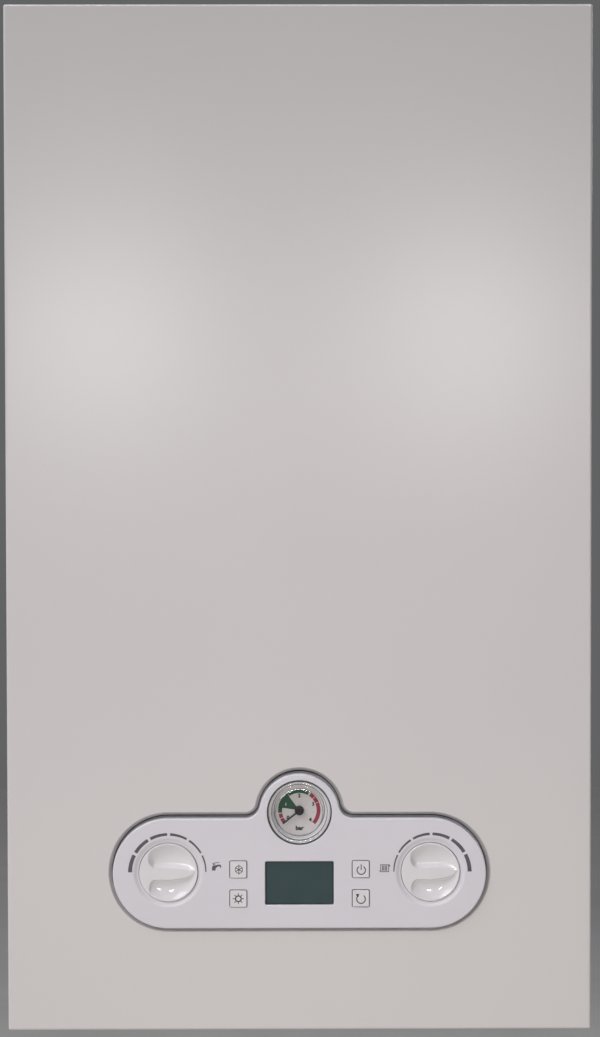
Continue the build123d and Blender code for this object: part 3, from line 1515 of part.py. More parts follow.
def build():
    pieces = {
        "wall_bracket": wall_bracket(),
        "back_frame": back_frame(),
        "right_side_panel": side_panel(),
        "left_side_panel": mirror(side_panel(), Plane.YZ),
        "top_panel": top_panel(),
        "front_cover": front_cover(),
        "connection_plate": connection_plate(),
        "casing_screws": casing_screws(),
        "control_box": control_box(),
        "control_fascia": control_fascia(),
        "box_rear_cover": box_rear_cover(),
        "box_screws": box_screws(),
        "main_board": main_board(),
        "display_board": display_board(),
        "display_window": display_window(),
        "hot_water_knob": knob(*knob_places[0]),
        "heating_knob": knob(*knob_places[1]),
        "gauge_case": gauge_case(),
        "gauge_dial": gauge_dial(),
        "gauge_needle": gauge_needle(),
        "gauge_lens": gauge_lens(),
        "chamber_shell": chamber_shell(),
        "chamber_seal": chamber_seal(),
        "chamber_cover": chamber_cover(),
        "sight_glass": sight_glass(),
        "burner": burner(),
        "gas_manifold": gas_manifold(),
        "combustion_box": combustion_box(),
        "insulation_panels": insulation_panels(),
        "electrodes": electrodes(),
        "heat_exchanger": heat_exchanger(),
        "exhaust_hood": exhaust_hood(),
        "fan_housing": fan_housing(),
        "fan_impeller": fan_impeller(),
        "fan_motor": fan_motor(),
        "air_pressure_switch": air_pressure_switch(),
        "flue_seal": flue_seal(),
        "flue_collar": flue_collar(),
        "expansion_vessel": expansion_vessel(),
        "plate_exchanger": plate_exchanger(),
        "flow_block": flow_block(),
        "diverter_stem": diverter_stem(),
        "diverter_motor": diverter_motor(),
        "return_block": return_block(),
        "relief_valve": relief_valve(),
        "relief_knob": relief_knob(),
        "filling_knob": filling_knob(),
        "pump_body": pump_body(),
        "pump_motor": pump_motor(),
        "pump_rotor": pump_rotor(),
        "air_vent": air_vent(),
        "gas_valve": gas_valve(),
        "gas_pipes": gas_pipes(),
        "heating_pipes": heating_pipes(),
        "capillary": capillary(),
        "wiring_loom": wiring_loom(),
    }
    for name, place in button_places().items():
        pieces[name] = button(*place)
    return pieces


def save(pieces):
    os.makedirs("parts", exist_ok=True)
    shift = Pos(0, 0, -bracket_height)
    for name, shape in pieces.items():
        piece = Compound(children=[shift * solid for solid in solids_of(shape)])
        export_step(piece, f"parts/{name}.step")


save(build())
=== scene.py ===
import bpy, bmesh, json, math
import numpy as np
from mathutils import Matrix, Vector


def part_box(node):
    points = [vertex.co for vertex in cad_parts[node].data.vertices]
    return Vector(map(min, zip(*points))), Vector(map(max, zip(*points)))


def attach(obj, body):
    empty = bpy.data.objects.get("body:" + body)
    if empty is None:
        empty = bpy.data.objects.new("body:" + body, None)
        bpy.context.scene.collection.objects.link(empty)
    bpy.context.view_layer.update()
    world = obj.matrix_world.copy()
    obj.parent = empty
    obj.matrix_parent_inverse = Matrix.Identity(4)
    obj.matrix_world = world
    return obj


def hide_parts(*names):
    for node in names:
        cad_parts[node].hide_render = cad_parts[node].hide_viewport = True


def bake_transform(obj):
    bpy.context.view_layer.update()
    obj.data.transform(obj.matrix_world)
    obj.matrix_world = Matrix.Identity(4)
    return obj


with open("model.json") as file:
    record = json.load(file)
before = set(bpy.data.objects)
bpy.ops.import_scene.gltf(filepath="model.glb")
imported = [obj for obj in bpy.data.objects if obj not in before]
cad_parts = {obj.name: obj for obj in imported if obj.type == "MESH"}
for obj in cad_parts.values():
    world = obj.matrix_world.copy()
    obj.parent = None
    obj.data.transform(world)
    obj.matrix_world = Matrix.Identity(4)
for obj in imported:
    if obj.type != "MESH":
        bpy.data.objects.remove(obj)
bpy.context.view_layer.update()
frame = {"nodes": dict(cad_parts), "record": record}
nodes = frame["nodes"]
print("frame:", len(nodes), "pieces")

# places taken from the frame, in mm: x right, depth out of the wall, height from the casing's foot
mm = 0.001
coverLow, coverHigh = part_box("front_cover")
casing = {
    "halfWidth": coverHigh.x / mm,
    "height": (coverHigh.z - coverLow.z) / mm,
    "depth": -coverLow.y / mm,
    "coverBack": -coverHigh.y / mm,
    "foot": coverLow.z,
}


def at(x, depth, height):
    return Vector((x * mm, -depth * mm, casing["foot"] + height * mm))


def boxOf(node):
    # left, right, back, front, bottom, top of a CAD piece in the same mm
    low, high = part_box(node)
    foot = casing["foot"]
    return low.x / mm, high.x / mm, -high.y / mm, -low.y / mm, (low.z - foot) / mm, (high.z - foot) / mm


def hexColour(code):
    # sRGB hex to the linear colour a shader takes
    parts = [int(code[i:i + 2], 16) / 255 for i in (0, 2, 4)]
    return [c / 12.92 if c <= 0.04045 else ((c + 0.055) / 1.055) ** 2.4 for c in parts] + [1.0]


def addNode(tree, kind, inputs=None, **settings):
    # one shader node, with its settings and with its inputs set or linked
    node = tree.nodes.new("ShaderNode" + kind)
    for key, value in settings.items():
        setattr(node, key, value)
    for key, value in (inputs or {}).items():
        if isinstance(value, bpy.types.NodeSocket):
            tree.links.new(value, node.inputs[key])
        else:
            node.inputs[key].default_value = value
    return node


def newMaterial(name, colour, **values):
    material = bpy.data.materials.new(name)
    material.use_nodes = True
    shader = material.node_tree.nodes["Principled BSDF"]
    shader.inputs["Base Color"].default_value = hexColour(colour)
    for key, value in values.items():
        shader.inputs[key].default_value = value
    return material, material.node_tree, shader


def noiseOf(tree, grain, detail=3.0, stretch=(1, 1, 1), breakup=0.55):
    # noise whose grains are so many mm across, in the object's own coordinates
    coords = addNode(tree, "TexCoord")
    mapping = addNode(tree, "Mapping", {"Vector": coords.outputs["Object"], "Scale": stretch})
    values = {"Vector": mapping.outputs[0], "Scale": 1 / (grain * mm), "Detail": detail, "Roughness": breakup}
    return addNode(tree, "TexNoise", values)


def tintBy(tree, shader, factor, low, high, start=0.35, end=0.65):
    # colour that wanders between two near shades
    ramp = addNode(tree, "MapRange", {"Value": factor, "From Min": start, "From Max": end})
    mix = addNode(tree, "Mix", {"Factor": ramp.outputs[0]}, data_type="RGBA")
    # sockets 6 and 7 are the two colours, and output 2 their mix
    mix.inputs[6].default_value = hexColour(low)
    mix.inputs[7].default_value = hexColour(high)
    tree.links.new(mix.outputs[2], shader.inputs["Base Color"])


def roughBy(tree, shader, factor, low, high):
    ramp = addNode(tree, "MapRange", {"Value": factor, "To Min": low, "To Max": high})
    tree.links.new(ramp.outputs[0], shader.inputs["Roughness"])


def bumpBy(tree, shader, height, depth, strength=1.0):
    # depth is the height of the bumps in mm
    values = {"Height": height, "Distance": depth * mm, "Strength": strength}
    bump = addNode(tree, "Bump", values)
    tree.links.new(bump.outputs[0], shader.inputs["Normal"])


def speckled(name, low, high, grain, roughness, bump=(0.5, 0.004), stretch=(1, 1, 1), detail=3.0, **values):
    # wandering shade, uneven gloss and a fine skin
    material, tree, shader = newMaterial(name, low, **values)
    broad = noiseOf(tree, grain, detail, stretch)
    tintBy(tree, shader, broad.outputs["Fac"], low, high)
    roughBy(tree, shader, broad.outputs["Fac"], *roughness)
    fine = noiseOf(tree, bump[0], 2.0, stretch)
    bumpBy(tree, shader, fine.outputs["Fac"], bump[1])
    return material


def metal(name, low, high, grain, roughness, stretch=(1, 1, 1), bump=(0.6, 0.004)):
    # bare metal keeps the default IOR
    return speckled(name, low, high, grain, roughness, bump, stretch, 4.0, Metallic=1.0)


def galvanised():
    # hot-dip zinc on steel sheet: dull grey with flat crystal spangles
    zinc = {"colour": "a9adad", "low": "979b9c", "high": "b9bcbc", "spangle": 9.0, "rough": (0.38, 0.56),
            "skin": 0.8, "skinDepth": 0.004}
    material, tree, shader = newMaterial("galvanisedSteel", zinc["colour"], Metallic=1.0)
    coords = addNode(tree, "TexCoord")
    values = {"Vector": coords.outputs["Object"], "Scale": 1 / (zinc["spangle"] * mm), "Randomness": 1.0}
    spangle = addNode(tree, "TexVoronoi", values)
    shade = addNode(tree, "SeparateColor", {"Color": spangle.outputs["Color"]})
    tintBy(tree, shader, shade.outputs[0], zinc["low"], zinc["high"], 0.0, 1.0)
    roughBy(tree, shader, shade.outputs[1], *zinc["rough"])
    fine = noiseOf(tree, zinc["skin"])
    bumpBy(tree, shader, fine.outputs["Fac"], zinc["skinDepth"])
    return material


def whitePaint():
    # powder coat baked on steel sheet: soft white, half gloss, with a faint peel and pale handling smudges
    paint = {"low": "d8d3d4", "high": "d9d5d5", "rough": (0.25, 0.28), "peel": 2.2, "peelDepth": 0.0016,
             "smudge": 120.0}
    material, tree, shader = newMaterial("whitePowderCoat", paint["low"], IOR=1.5)
    smudge = noiseOf(tree, paint["smudge"], 1.5)
    tintBy(tree, shader, smudge.outputs["Fac"], paint["low"], paint["high"], 0.25, 0.75)
    roughBy(tree, shader, smudge.outputs["Fac"], *paint["rough"])
    peel = noiseOf(tree, paint["peel"], 2.0)
    bumpBy(tree, shader, peel.outputs["Fac"], paint["peelDepth"])
    return material


def clearSheet(name, colour, roughness, ior, haze=6.0, spread=0.02):
    # clear and of even thickness: sharp reflections on its edges, and what lies behind shows unbent
    material = bpy.data.materials.new(name)
    material.use_nodes = True
    tree = material.node_tree
    tree.nodes.remove(tree.nodes["Principled BSDF"])
    handled = noiseOf(tree, haze)
    values = {"Value": handled.outputs["Fac"], "To Min": roughness, "To Max": roughness + spread}
    blur = addNode(tree, "MapRange", values)
    edge = addNode(tree, "Fresnel", {"IOR": ior})
    # only the eye sees the shine, so the lamps light what is behind in full
    path = addNode(tree, "LightPath")
    values = {0: edge.outputs[0], 1: path.outputs["Is Camera Ray"]}
    seen = addNode(tree, "Math", values, operation="MULTIPLY")
    through = addNode(tree, "BsdfTransparent", {"Color": hexColour(colour)})
    shine = addNode(tree, "BsdfAnisotropic", {"Roughness": blur.outputs[0]})
    values = {0: seen.outputs[0], 1: through.outputs[0], 2: shine.outputs[0]}
    both = addNode(tree, "MixShader", values)
    tree.links.new(both.outputs[0], tree.nodes["Material Output"].inputs["Surface"])
    return material


def moulded(name, low, high, grain, roughness, bump=(0.5, 0.004)):
    # the ABS of the panel and the knobs
    return speckled(name, low, high, grain, roughness, bump, IOR=1.53)


def coated(name, low, high, grain, roughness, bump=(0.5, 0.004)):
    # paints, lacquers and the softer plastics
    return speckled(name, low, high, grain, roughness, bump, IOR=1.5)


def printed(name, low, high, grain=2, roughness=(0.45, 0.55)):
    # printed ink: thin, flat and a little uneven
    return speckled(name, low, high, grain, roughness, (0.3, 0.001), IOR=1.45)


# by the record's material slots, with a few more for parts of a piece: two near shades, the mm over which
# they wander, low and high roughness, then how far apart the bumps are and how deep, in mm
finishes = {
    "white_enamel": whitePaint(),
    # the same coat made darker on the cut-out's lip: painted shade for the shadowed grey band round the panel
    "lip_shade_enamel": coated("lipShadePowderCoat", "aaa6a7", "b2aeaf", 6, (0.35, 0.45), (1.5, 0.003)),
    # injection-moulded in a spark-eroded mould: cool white, satin
    "white_fascia": moulded("satinMouldedAbs", "dbd8df", "dedbe2", 60, (0.40, 0.48), (0.35, 0.003)),
    # the foot of its skirt, greyer and flat: painted shade for the groove's floor behind the cut-out
    "skirt_shade_fascia": moulded("skirtShadeMouldedAbs", "bab9be", "c6c5ca", 5, (0.6, 0.75)),
    # the same plastic from a polished mould: glossy, slightly warmer
    "white_knobs": moulded("glossMouldedAbs", "e3e0e3", "e6e3e6", 15, (0.06, 0.09), (1.2, 0.002)),
    # from a lightly blasted mould: warmer than the fascia, softer shine
    "white_buttons": moulded("blastedMouldedAbs", "e0dde1", "e3e0e4", 12, (0.34, 0.42), (0.35, 0.003)),
    # white part round the dial, from a smooth mould: a mild shine on its cone
    "gauge_white": moulded("smoothMouldedAbs", "dedce0", "e3e1e5", 8, (0.3, 0.4), (0.5, 0.002)),
    # box behind the fascia, coarse mould: dark grey that barely shines
    "grey_housing": moulded("texturedGreyAbs", "26272a", "2c2d30", 30, (0.5, 0.6), (0.8, 0.01)),
    # needle and small fittings: near black with a soft highlight
    "gauge_black": moulded("mouldedBlackAbs", "131314", "19191b", 10, (0.38, 0.5), (0.6, 0.004)),
    # pad-printed scales and signs: dull violet grey, and the buttons' darker signs, whose ink also paints the
    # shade of the gaps round the gauge's dial
    "grey_ink": printed("greyPadInk", "57545f", "605c67", 3, (0.5, 0.6)),
    "dark_ink_and_gap_shade": printed("darkPadInkAndGapShade", "38363c", "403e44", 2, (0.5, 0.6)),
    # silk-screened colours of the dial: flat and even
    "black_ink": printed("blackScreenInk", "1d1c1e", "262528"),
    "red_ink": printed("redScreenInk", "8a2b40", "943347"),
    "green_ink": printed("greenScreenInk", "244d36", "2a563d"),
    "white_ink": printed("whiteScreenInk", "dcdedb", "e4e6e3"),
    # the dial's lacquered aluminium: pale silver grey with a faint sheen
    "gauge_face": coated("lacqueredAluminium", "c9c3c4", "cfcacb", 4, (0.42, 0.5), (0.3, 0.001)),
    # injection-moulded acrylic cap and pressed glass: clear, bright only at their edges
    "gauge_clear": clearSheet("mouldedAcrylic", "ffffff", 0.05, 1.49),
    "sight_pane": clearSheet("pressedGlass", "f2f4ea", 0.04, 1.47),
    # liquid-crystal cell switched off behind cut acrylic: even grey green, near black at the printed edge
    "clear_window": speckled("cutAcrylic", "394a4c", "3c4d4f", 20, (0.16, 0.2), (2.0, 0.0005), IOR=1.49),
    "window_edge": speckled("printedAcrylic", "191d20", "1f2427", 5, (0.3, 0.4), (1.0, 0.001), IOR=1.49),
    "galvanised_sheet": galvanised(),
    # electroplated screws: bright grey, fairly sharp highlights
    "zinc_screws": metal("zincPlatedSteel", "9fa3a4", "c4c6c2", 3, (0.28, 0.42)),
    # hot-dip aluminised sheet: even silver with long faint streaks
    "aluminised_sheet": metal("aluminisedSteel", "b4b6b6", "c6c8c8", 22, (0.36, 0.5), (1, 1, 0.3)),
    # cold-rolled stainless: warm grey with the roller's streaks
    "stainless_plates": metal("rolledStainless", "9d9a96", "b3b0ab", 14, (0.25, 0.38), (0.4, 1, 1)),
    # stainless gone brown in the flames: patchy and duller
    "stainless_burner": metal("heatTintedStainless", "6f6a68", "9a8f84", 9, (0.35, 0.5)),
    # die-cast: soft grey, pitted skin
    "cast_aluminium": metal("dieCastAluminium", "a9abac", "c2c4c5", 5, (0.42, 0.58), (1, 1, 1), (0.7, 0.03)),
    # drawn tube: pink brown, streaked along the draw
    "copper": metal("drawnCopper", "a55f43", "c98362", 16, (0.24, 0.42), (1, 1, 0.4)),
    # hot-stamped and tumbled: yellow, slightly rough
    "brass_castings": metal("hotStampedBrass", "a98745", "c4a35c", 6, (0.32, 0.48), (1, 1, 1), (0.8, 0.02)),
    # blackened motor cans and turned spindles: dark and soft, then bright and sharp
    "motor_steel": metal("blackenedSteel", "4a4b4d", "5d5e60", 7, (0.4, 0.55)),
    "steel_spindle": metal("turnedSteel", "9a9b9c", "b0b1b2", 4, (0.22, 0.32)),
    # foamed rubber strip: black, no shine
    "seal_foam": speckled("foamedRubber", "242424", "2d2d2c", 6, (0.75, 0.88), (0.7, 0.05), IOR=1.52),
    # pressed ceramic fibre: chalky cream, no shine
    "fibre_board": coated("pressedCeramicFibre", "d9d3c4", "e6e1d5", 7, (0.85, 0.95), (0.6, 0.12)),
    # fired electrode bodies: cream white, wet shine
    "white_ceramic": speckled("glazedCeramic", "e5e1d7", "ece9e1", 5, (0.12, 0.2), (1.0, 0.003), IOR=1.55),
    # sprayed vessel: deep red, half gloss with a fine peel
    "red_vessel": coated("sprayedRedEnamel", "8f1e16", "9c261c", 40, (0.28, 0.38), (1.6, 0.006)),
    # moulded polyamide in four colours: satin
    "switch_plastic": coated("mouldedCreamPolyamide", "d8d2c0", "dfdacb", 9, (0.4, 0.5)),
    "grey_actuator": coated("mouldedGreyPolyamide", "8f9294", "9a9d9f", 14, (0.45, 0.55), (0.6, 0.006)),
    "red_knob": coated("mouldedRedPolyamide", "a31712", "ad201a", 6, (0.35, 0.45)),
    "blue_knob": coated("mouldedBluePolyamide", "1c3c86", "23448f", 6, (0.35, 0.45)),
    # cast iron dipped in paint: black grey over a sandy skin
    "pump_casting": coated("dippedCastIron", "2d3033", "383b3e", 10, (0.45, 0.6), (1.4, 0.04)),
    # screened lacquer on the boards: green with a tight shine
    "circuit_board": coated("screenedSolderMask", "11522f", "186039", 5, (0.25, 0.38), (0.9, 0.012)),
    # extruded lead sheath: black, satin
    "black_cable": coated("extrudedPvc", "161617", "1e1e1f", 5, (0.45, 0.6), (0.4, 0.004)),
}
print("materials:", len(finishes))


def intoScene(thing):
    bpy.context.scene.collection.objects.link(thing)


def ringOf(outline, depth):
    return [at(x, depth, height) for x, height in outline]


class Shell:
    # a mesh grown from rings of points; faces keep the number of the finish they were made with
    def __init__(self, name, *finishNames):
        self.name = name
        self.bm = bmesh.new()
        self.finishNames = finishNames
        self.paint = 0

    def ring(self, points):
        return [self.bm.verts.new(p) for p in points]

    def face(self, corners):
        made = self.bm.faces.new(corners)
        made.material_index = self.paint
        return made

    def bridge(self, first, second):
        count = len(first)
        for i in range(count):
            j = (i + 1) % count
            self.face((first[i], first[j], second[j], second[i]))

    def rows(self, rings):
        made = [self.ring(points) for points in rings]
        for first, second in zip(made, made[1:]):
            self.bridge(first, second)
        return made

    def loft(self, outline, steps):
        # rows of one outline, each step its inset or radius and its depth
        return self.rows([ringOf(outline(size), depth) for size, depth in steps])

    def close(self, first, last):
        # flat ends of a row of rings
        self.face(list(reversed(first)))
        self.face(last)

    def fill(self, *loops):
        # flat face between an outer loop and its holes
        edges = []
        for loop in loops:
            for i, vertex in enumerate(loop):
                other = loop[(i + 1) % len(loop)]
                edges.append(self.bm.edges.get((vertex, other)) or self.bm.edges.new((vertex, other)))
        for made in bmesh.ops.triangle_fill(self.bm, use_beauty=True, edges=edges)["geom"]:
            if isinstance(made, bmesh.types.BMFace):
                made.material_index = self.paint

    def plate(self, outline, back, front):
        # thin closed plate over an outline seen from the front
        self.close(*self.rows([ringOf(outline, back), ringOf(outline, front)]))

    def band(self, outer, inner, back, front):
        # thin closed ring between two outlines with as many points
        corners = ((outer, back), (outer, front), (inner, front), (inner, back))
        loops = [self.ring(ringOf(outline, depth)) for outline, depth in corners]
        for first, second in zip(loops, loops[1:] + loops[:1]):
            self.bridge(first, second)

    def finish(self, body, replaced=(), sharp=35):
        bmesh.ops.recalc_face_normals(self.bm, faces=self.bm.faces)
        mesh = bpy.data.meshes.new(self.name)
        self.bm.to_mesh(mesh)
        self.bm.free()
        for name in self.finishNames:
            mesh.materials.append(finishes[name])
        mesh.shade_smooth()
        mesh.set_sharp_from_angle(angle=math.radians(sharp))
        piece = bpy.data.objects.new(self.name, mesh)
        intoScene(piece)
        if body:
            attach(piece, body)
        if replaced:
            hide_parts(*replaced)
        return piece


def arcPoints(x, height, radius, start, end, steps):
    # points on an arc, angles in degrees, both ends included
    turns = [math.radians(start + (end - start) * i / steps) for i in range(steps + 1)]
    return [(x + radius * math.cos(t), height + radius * math.sin(t)) for t in turns]


def circleOutline(x, height, radius, steps=128):
    return arcPoints(x, height, radius, 0, 360, steps)[:-1]


def roundedOutline(x, height, width, tall, radius, steps=8):
    # rectangle with round corners, whose radius may shrink to almost nothing
    radius = max(radius, 0.02)
    halfX, halfZ = width / 2 - radius, tall / 2 - radius
    points = []
    for quarter, (sx, sz) in enumerate(((1, 1), (-1, 1), (-1, -1), (1, -1))):
        start = 90 * quarter
        points += arcPoints(x + sx * halfX, height + sz * halfZ, radius, start, start + 90, steps)
    return points


panel = {
    "width": 257.0, "height": 77.5, "bottom": 70.2,
    "humpRadius": 28.4, "humpHeight": 150.0, "humpCorner": 9.7,
    "groove": 0.8,
    "endSteps": 56, "cornerSteps": 14, "footSteps": 24, "topSteps": 8,
}


def panelOutline(inset):
    # the cut-out's outline shrunk by the inset: a slot with a hump for the gauge
    radius = panel["height"] / 2 - inset
    centre = panel["bottom"] + panel["height"] / 2
    reach = panel["width"] / 2 - panel["height"] / 2
    hump = panel["humpRadius"] - inset
    corner = panel["humpCorner"] + inset
    cornerHeight = centre + radius + corner
    drop = cornerHeight - panel["humpHeight"]
    cornerX = math.sqrt((hump + corner) ** 2 - drop ** 2)
    lean = math.degrees(math.atan2(drop, cornerX))
    ends, corners, foot, top = (panel[key] for key in ("endSteps", "cornerSteps", "footSteps", "topSteps"))
    points = [(-reach + reach * 2 * i / foot, centre - radius) for i in range(1, foot)]
    points += arcPoints(reach, centre, radius, -90, 90, ends)
    points += [(reach + (cornerX - reach) * i / top, centre + radius) for i in range(1, top)]
    points += arcPoints(cornerX, cornerHeight, corner, -90, -180 + lean, corners)
    points += arcPoints(0, panel["humpHeight"], hump, lean, 180 - lean, ends)[1:-1]
    points += arcPoints(-cornerX, cornerHeight, corner, -lean, -90, corners)
    points += [(-cornerX + (cornerX - reach) * i / top, centre + radius) for i in range(1, top)]
    points += arcPoints(-reach, centre, radius, 90, 270, ends)
    return points


def roundOver(radius, front, steps=6, inset=0.0):
    # inset and depth pairs of a rounded outside edge, from the flat front to the side
    turns = [math.pi / 2 * i / steps for i in range(steps + 1)]
    return [(inset + radius * (1 - math.sin(t)), front - radius * (1 - math.cos(t))) for t in turns]


coverForm = {
    "sheet": 1.0, "fold": 1.6, "support": 0.4, "tightest": 0.05,
    "sideStart": 5.0, "insideStart": 3.0, "insideFold": 0.5,
    # the cut-out's lip bends sharply, slopes and then runs straight back: how far out, and how deep
    "lipWide": 2.0, "lipBack": 275.0,
    "lip": [(2.4, 0.0), (2.0, 0.0), (1.88, 0.036), (1.775, 0.12), (0.3, 2.7), (0.08, 3.0), (0.0, 3.4)],
}


def buildCover():
    # one folded sheet with the cut-out for the panel
    cover = coverForm
    shell = Shell("frontCover", "white_enamel", "lip_shade_enamel")
    front, back, sheet = casing["depth"], casing["coverBack"], cover["sheet"]
    middle = casing["height"] / 2

    def edge(inset):
        width, tall = 2 * (casing["halfWidth"] - inset), casing["height"] - 2 * inset
        return roundedOutline(0, middle, width, tall, max(cover["fold"] - inset, cover["tightest"]))

    steps = [(cover["fold"] + cover["support"], front)] + roundOver(cover["fold"], front)
    outside = shell.loft(edge, steps + [(0, front - cover["sideStart"]), (0, back)])
    start, fold = front - cover["insideStart"], cover["insideFold"]
    steps = [(sheet, back), (sheet, start), (sheet + fold, front - sheet)]
    inside = shell.loft(edge, steps)
    shell.bridge(outside[-1], inside[0])
    # the lip and its hem take the darker coat: painted shade
    shell.paint = 1
    steps = [(-out, front - deep) for out, deep in cover["lip"]]
    lip = shell.loft(panelOutline, steps + [(0, cover["lipBack"])])
    hem = shell.loft(panelOutline, [(-sheet, cover["lipBack"]), (-cover["lipWide"], front - sheet)])
    shell.bridge(lip[-1], hem[0])
    shell.paint = 0
    shell.fill(outside[0], lip[0])
    shell.fill(inside[-1], hem[-1])
    shell.finish("front_cover", ["front_cover"])


fasciaPlaces = {
    "knobX": 89.65, "knobHeight": 109.0, "windowHeight": 101.6, "gaugeHeight": panel["humpHeight"],
}
buttonPlaces = {
    "frost": (-41.8, 111.2), "summer": (-41.8, 91.2), "power": (41.9, 111.2), "reset": (41.9, 91.2),
}
fasciaFront = boxOf("control_fascia")[3]


fasciaForm = {
    "wall": 2.5, "rim": 2.0, "edge": 1.0, "support": 0.5, "back": 274.0,
    # it sits a little low in the cut-out, its upper edge more than its lower
    "drop": 0.45, "lowerTop": 0.65,
    "flange": 0.7, "flangeReach": 0.6, "skirtEnd": 2.5,
    "dishEdge": 24.0, "dishFoot": 20.9, "dishDepth": 1.2, "dishSteps": 10,
    "knobHole": 20.4, "knobHoleEdge": 0.15,
    "buttonHole": 12.3, "buttonEdge": 0.2, "buttonCorner": 1.3,
    "windowWidth": 46.8, "windowTall": 29.8, "windowEdge": 0.7, "windowCorner": 1.0,
    "gaugeHole": 22.1, "gaugeEdge": 0.5, "apron": 0.3,
}


def buildFascia():
    fascia = fasciaForm
    shell = Shell("controlFascia", "white_fascia", "skirt_shade_fascia")
    front, floor = fasciaFront, fasciaFront - fascia["wall"]
    tall = panel["humpHeight"] + panel["humpRadius"] - panel["bottom"]

    def skirt(inset):
        share = fascia["lowerTop"] / tall
        return [(x, height - fascia["drop"] - share * (height - panel["bottom"]))
                for x, height in panelOutline(panel["groove"] + inset)]

    flange = fascia["back"] + fascia["flange"]
    steps = [(fascia["edge"] + fascia["support"], front)] + roundOver(fascia["edge"], front)
    outside = shell.loft(skirt, steps + [(0, flange + fascia["skirtEnd"])])
    # the skirt ends in a narrow flange behind the cut-out's edge
    # the flange and the skirt's foot take the greyer finish: painted shade in the groove
    shell.paint = 1
    steps = [(0, flange), (-fascia["flangeReach"], flange), (-fascia["flangeReach"], fascia["back"])]
    foot = shell.loft(skirt, steps)
    shell.bridge(outside[-1], foot[0])
    shell.paint = 0
    inside = shell.loft(skirt, [(fascia["rim"], fascia["back"]), (fascia["rim"], floor)])
    shell.bridge(foot[-1], inside[0])
    fronts, floors = [outside[0]], [inside[-1]]

    def hole(outline, steps):
        rings = shell.loft(outline, steps + [(steps[-1][0], floor)])
        fronts.append(rings[0])
        floors.append(rings[-1])

    # dish that falls softly to each knob
    span, count = fascia["dishEdge"] - fascia["dishFoot"], fascia["dishSteps"]
    bottom, ease = front - fascia["dishDepth"], fascia["knobHoleEdge"]
    dish = [(fascia["dishEdge"] + fascia["support"], front)]
    for t in (i / count for i in range(count + 1)):
        dish.append((fascia["dishEdge"] - span * t, front - fascia["dishDepth"] * t * t * (3 - 2 * t)))
    dish += [(fascia["knobHole"] + ease, bottom), (fascia["knobHole"], bottom - ease)]
    for side in (-1, 1):
        x = side * fasciaPlaces["knobX"]
        hole(lambda r, x=x: circleOutline(x, fasciaPlaces["knobHeight"], r), dish)

    def eased(size, radius):
        steps = [(size + 2 * i, d) for i, d in roundOver(radius, front, 4)]
        return [(size + 2 * (radius + fascia["apron"]), front)] + steps

    def grown(corner, size, least):
        return corner + (size - least) / 2

    least = fascia["buttonHole"]
    for x, height in buttonPlaces.values():
        hole(lambda s, x=x, h=height: roundedOutline(x, h, s, s, grown(fascia["buttonCorner"], s, least), 5),
             eased(least, fascia["buttonEdge"]))
    wide, height = fascia["windowWidth"], fasciaPlaces["windowHeight"]
    taller = fascia["windowTall"] - wide
    hole(lambda s: roundedOutline(0, height, s, s + taller, grown(fascia["windowCorner"], s, wide), 5),
         eased(wide, fascia["windowEdge"]))
    hole(lambda s: circleOutline(0, fasciaPlaces["gaugeHeight"], s / 2),
         eased(2 * fascia["gaugeHole"], fascia["gaugeEdge"]))
    shell.fill(*fronts)
    shell.fill(*floors)
    shell.finish("control_box", ["control_fascia"])


def distanceTo(points, line):
    # shortest distance from each point to an open line
    best = np.full(len(points), 1e9)
    for start, end in zip(line, line[1:]):
        start, run = np.array(start), np.array(end) - np.array(start)
        t = np.clip(((points - start) @ run) / (run @ run), 0, 1)
        best = np.minimum(best, np.linalg.norm(points - start - t[:, None] * run, axis=1))
    return best


def insideOf(points, outline):
    # even-odd test
    x, y = points[:, 0], points[:, 1]
    inside = np.zeros(len(points), bool)
    for (x1, y1), (x2, y2) in zip(outline, outline[1:] + outline[:1]):
        cross = ((y1 > y) != (y2 > y)) & (x < (x2 - x1) * (y - y1) / (y2 - y1 + 1e-12) + x1)
        inside ^= cross
    return inside


def curveThrough(points, steps=10):
    # Catmull-Rom line through the points
    line = []
    padded = [points[0]] + list(points) + [points[-1]]
    for a, b, c, d in zip(padded, padded[1:], padded[2:], padded[3:]):
        a, b, c, d = (np.array(p, float) for p in (a, b, c, d))
        for i in range(steps):
            t = i / steps
            square, cube = (2 * a - 5 * b + 4 * c - d) * t * t, (3 * b - a - 3 * c + d) * t ** 3
            line.append(tuple(0.5 * (2 * b + (c - a) * t + square + cube)))
    return line + [tuple(points[-1])]


knobForm = {
    "radius": 20.0, "edge": 0.4, "sink": 3.2, "foot": 1.0, "sharp": 60,
    "bowlRadius": 19.0, "rimWall": 10.0, "rimEase": 2.2, "wallEase": 2,
    "upperDepth": 4.4, "upperWall": 3.4, "lowerDepth": 3.3, "lowerWall": 1.7,
    # edges of the two scoops along the grip, from the left end to the tip at the right
    "upper": [(-13.6, 13.0), (-13.9, 9.6), (-13.4, 6.9), (-12.0, 4.5), (-9.4, 3.0), (-4.8, 2.7), (2.9, 2.7),
              (9.8, 2.5), (14.6, 1.9), (17.2, 1.2)],
    "lower": [(-13.2, -13.4), (-13.3, -11.2), (-12.7, -8.4), (-11.2, -6.0), (-8.3, -4.9), (-0.5, -5.0),
              (5.5, -4.5), (11.6, -3.4), (15.6, -1.7), (17.5, 0.4)],
    "spokes": 240, "rings": 100, "crowding": 0.9,
}


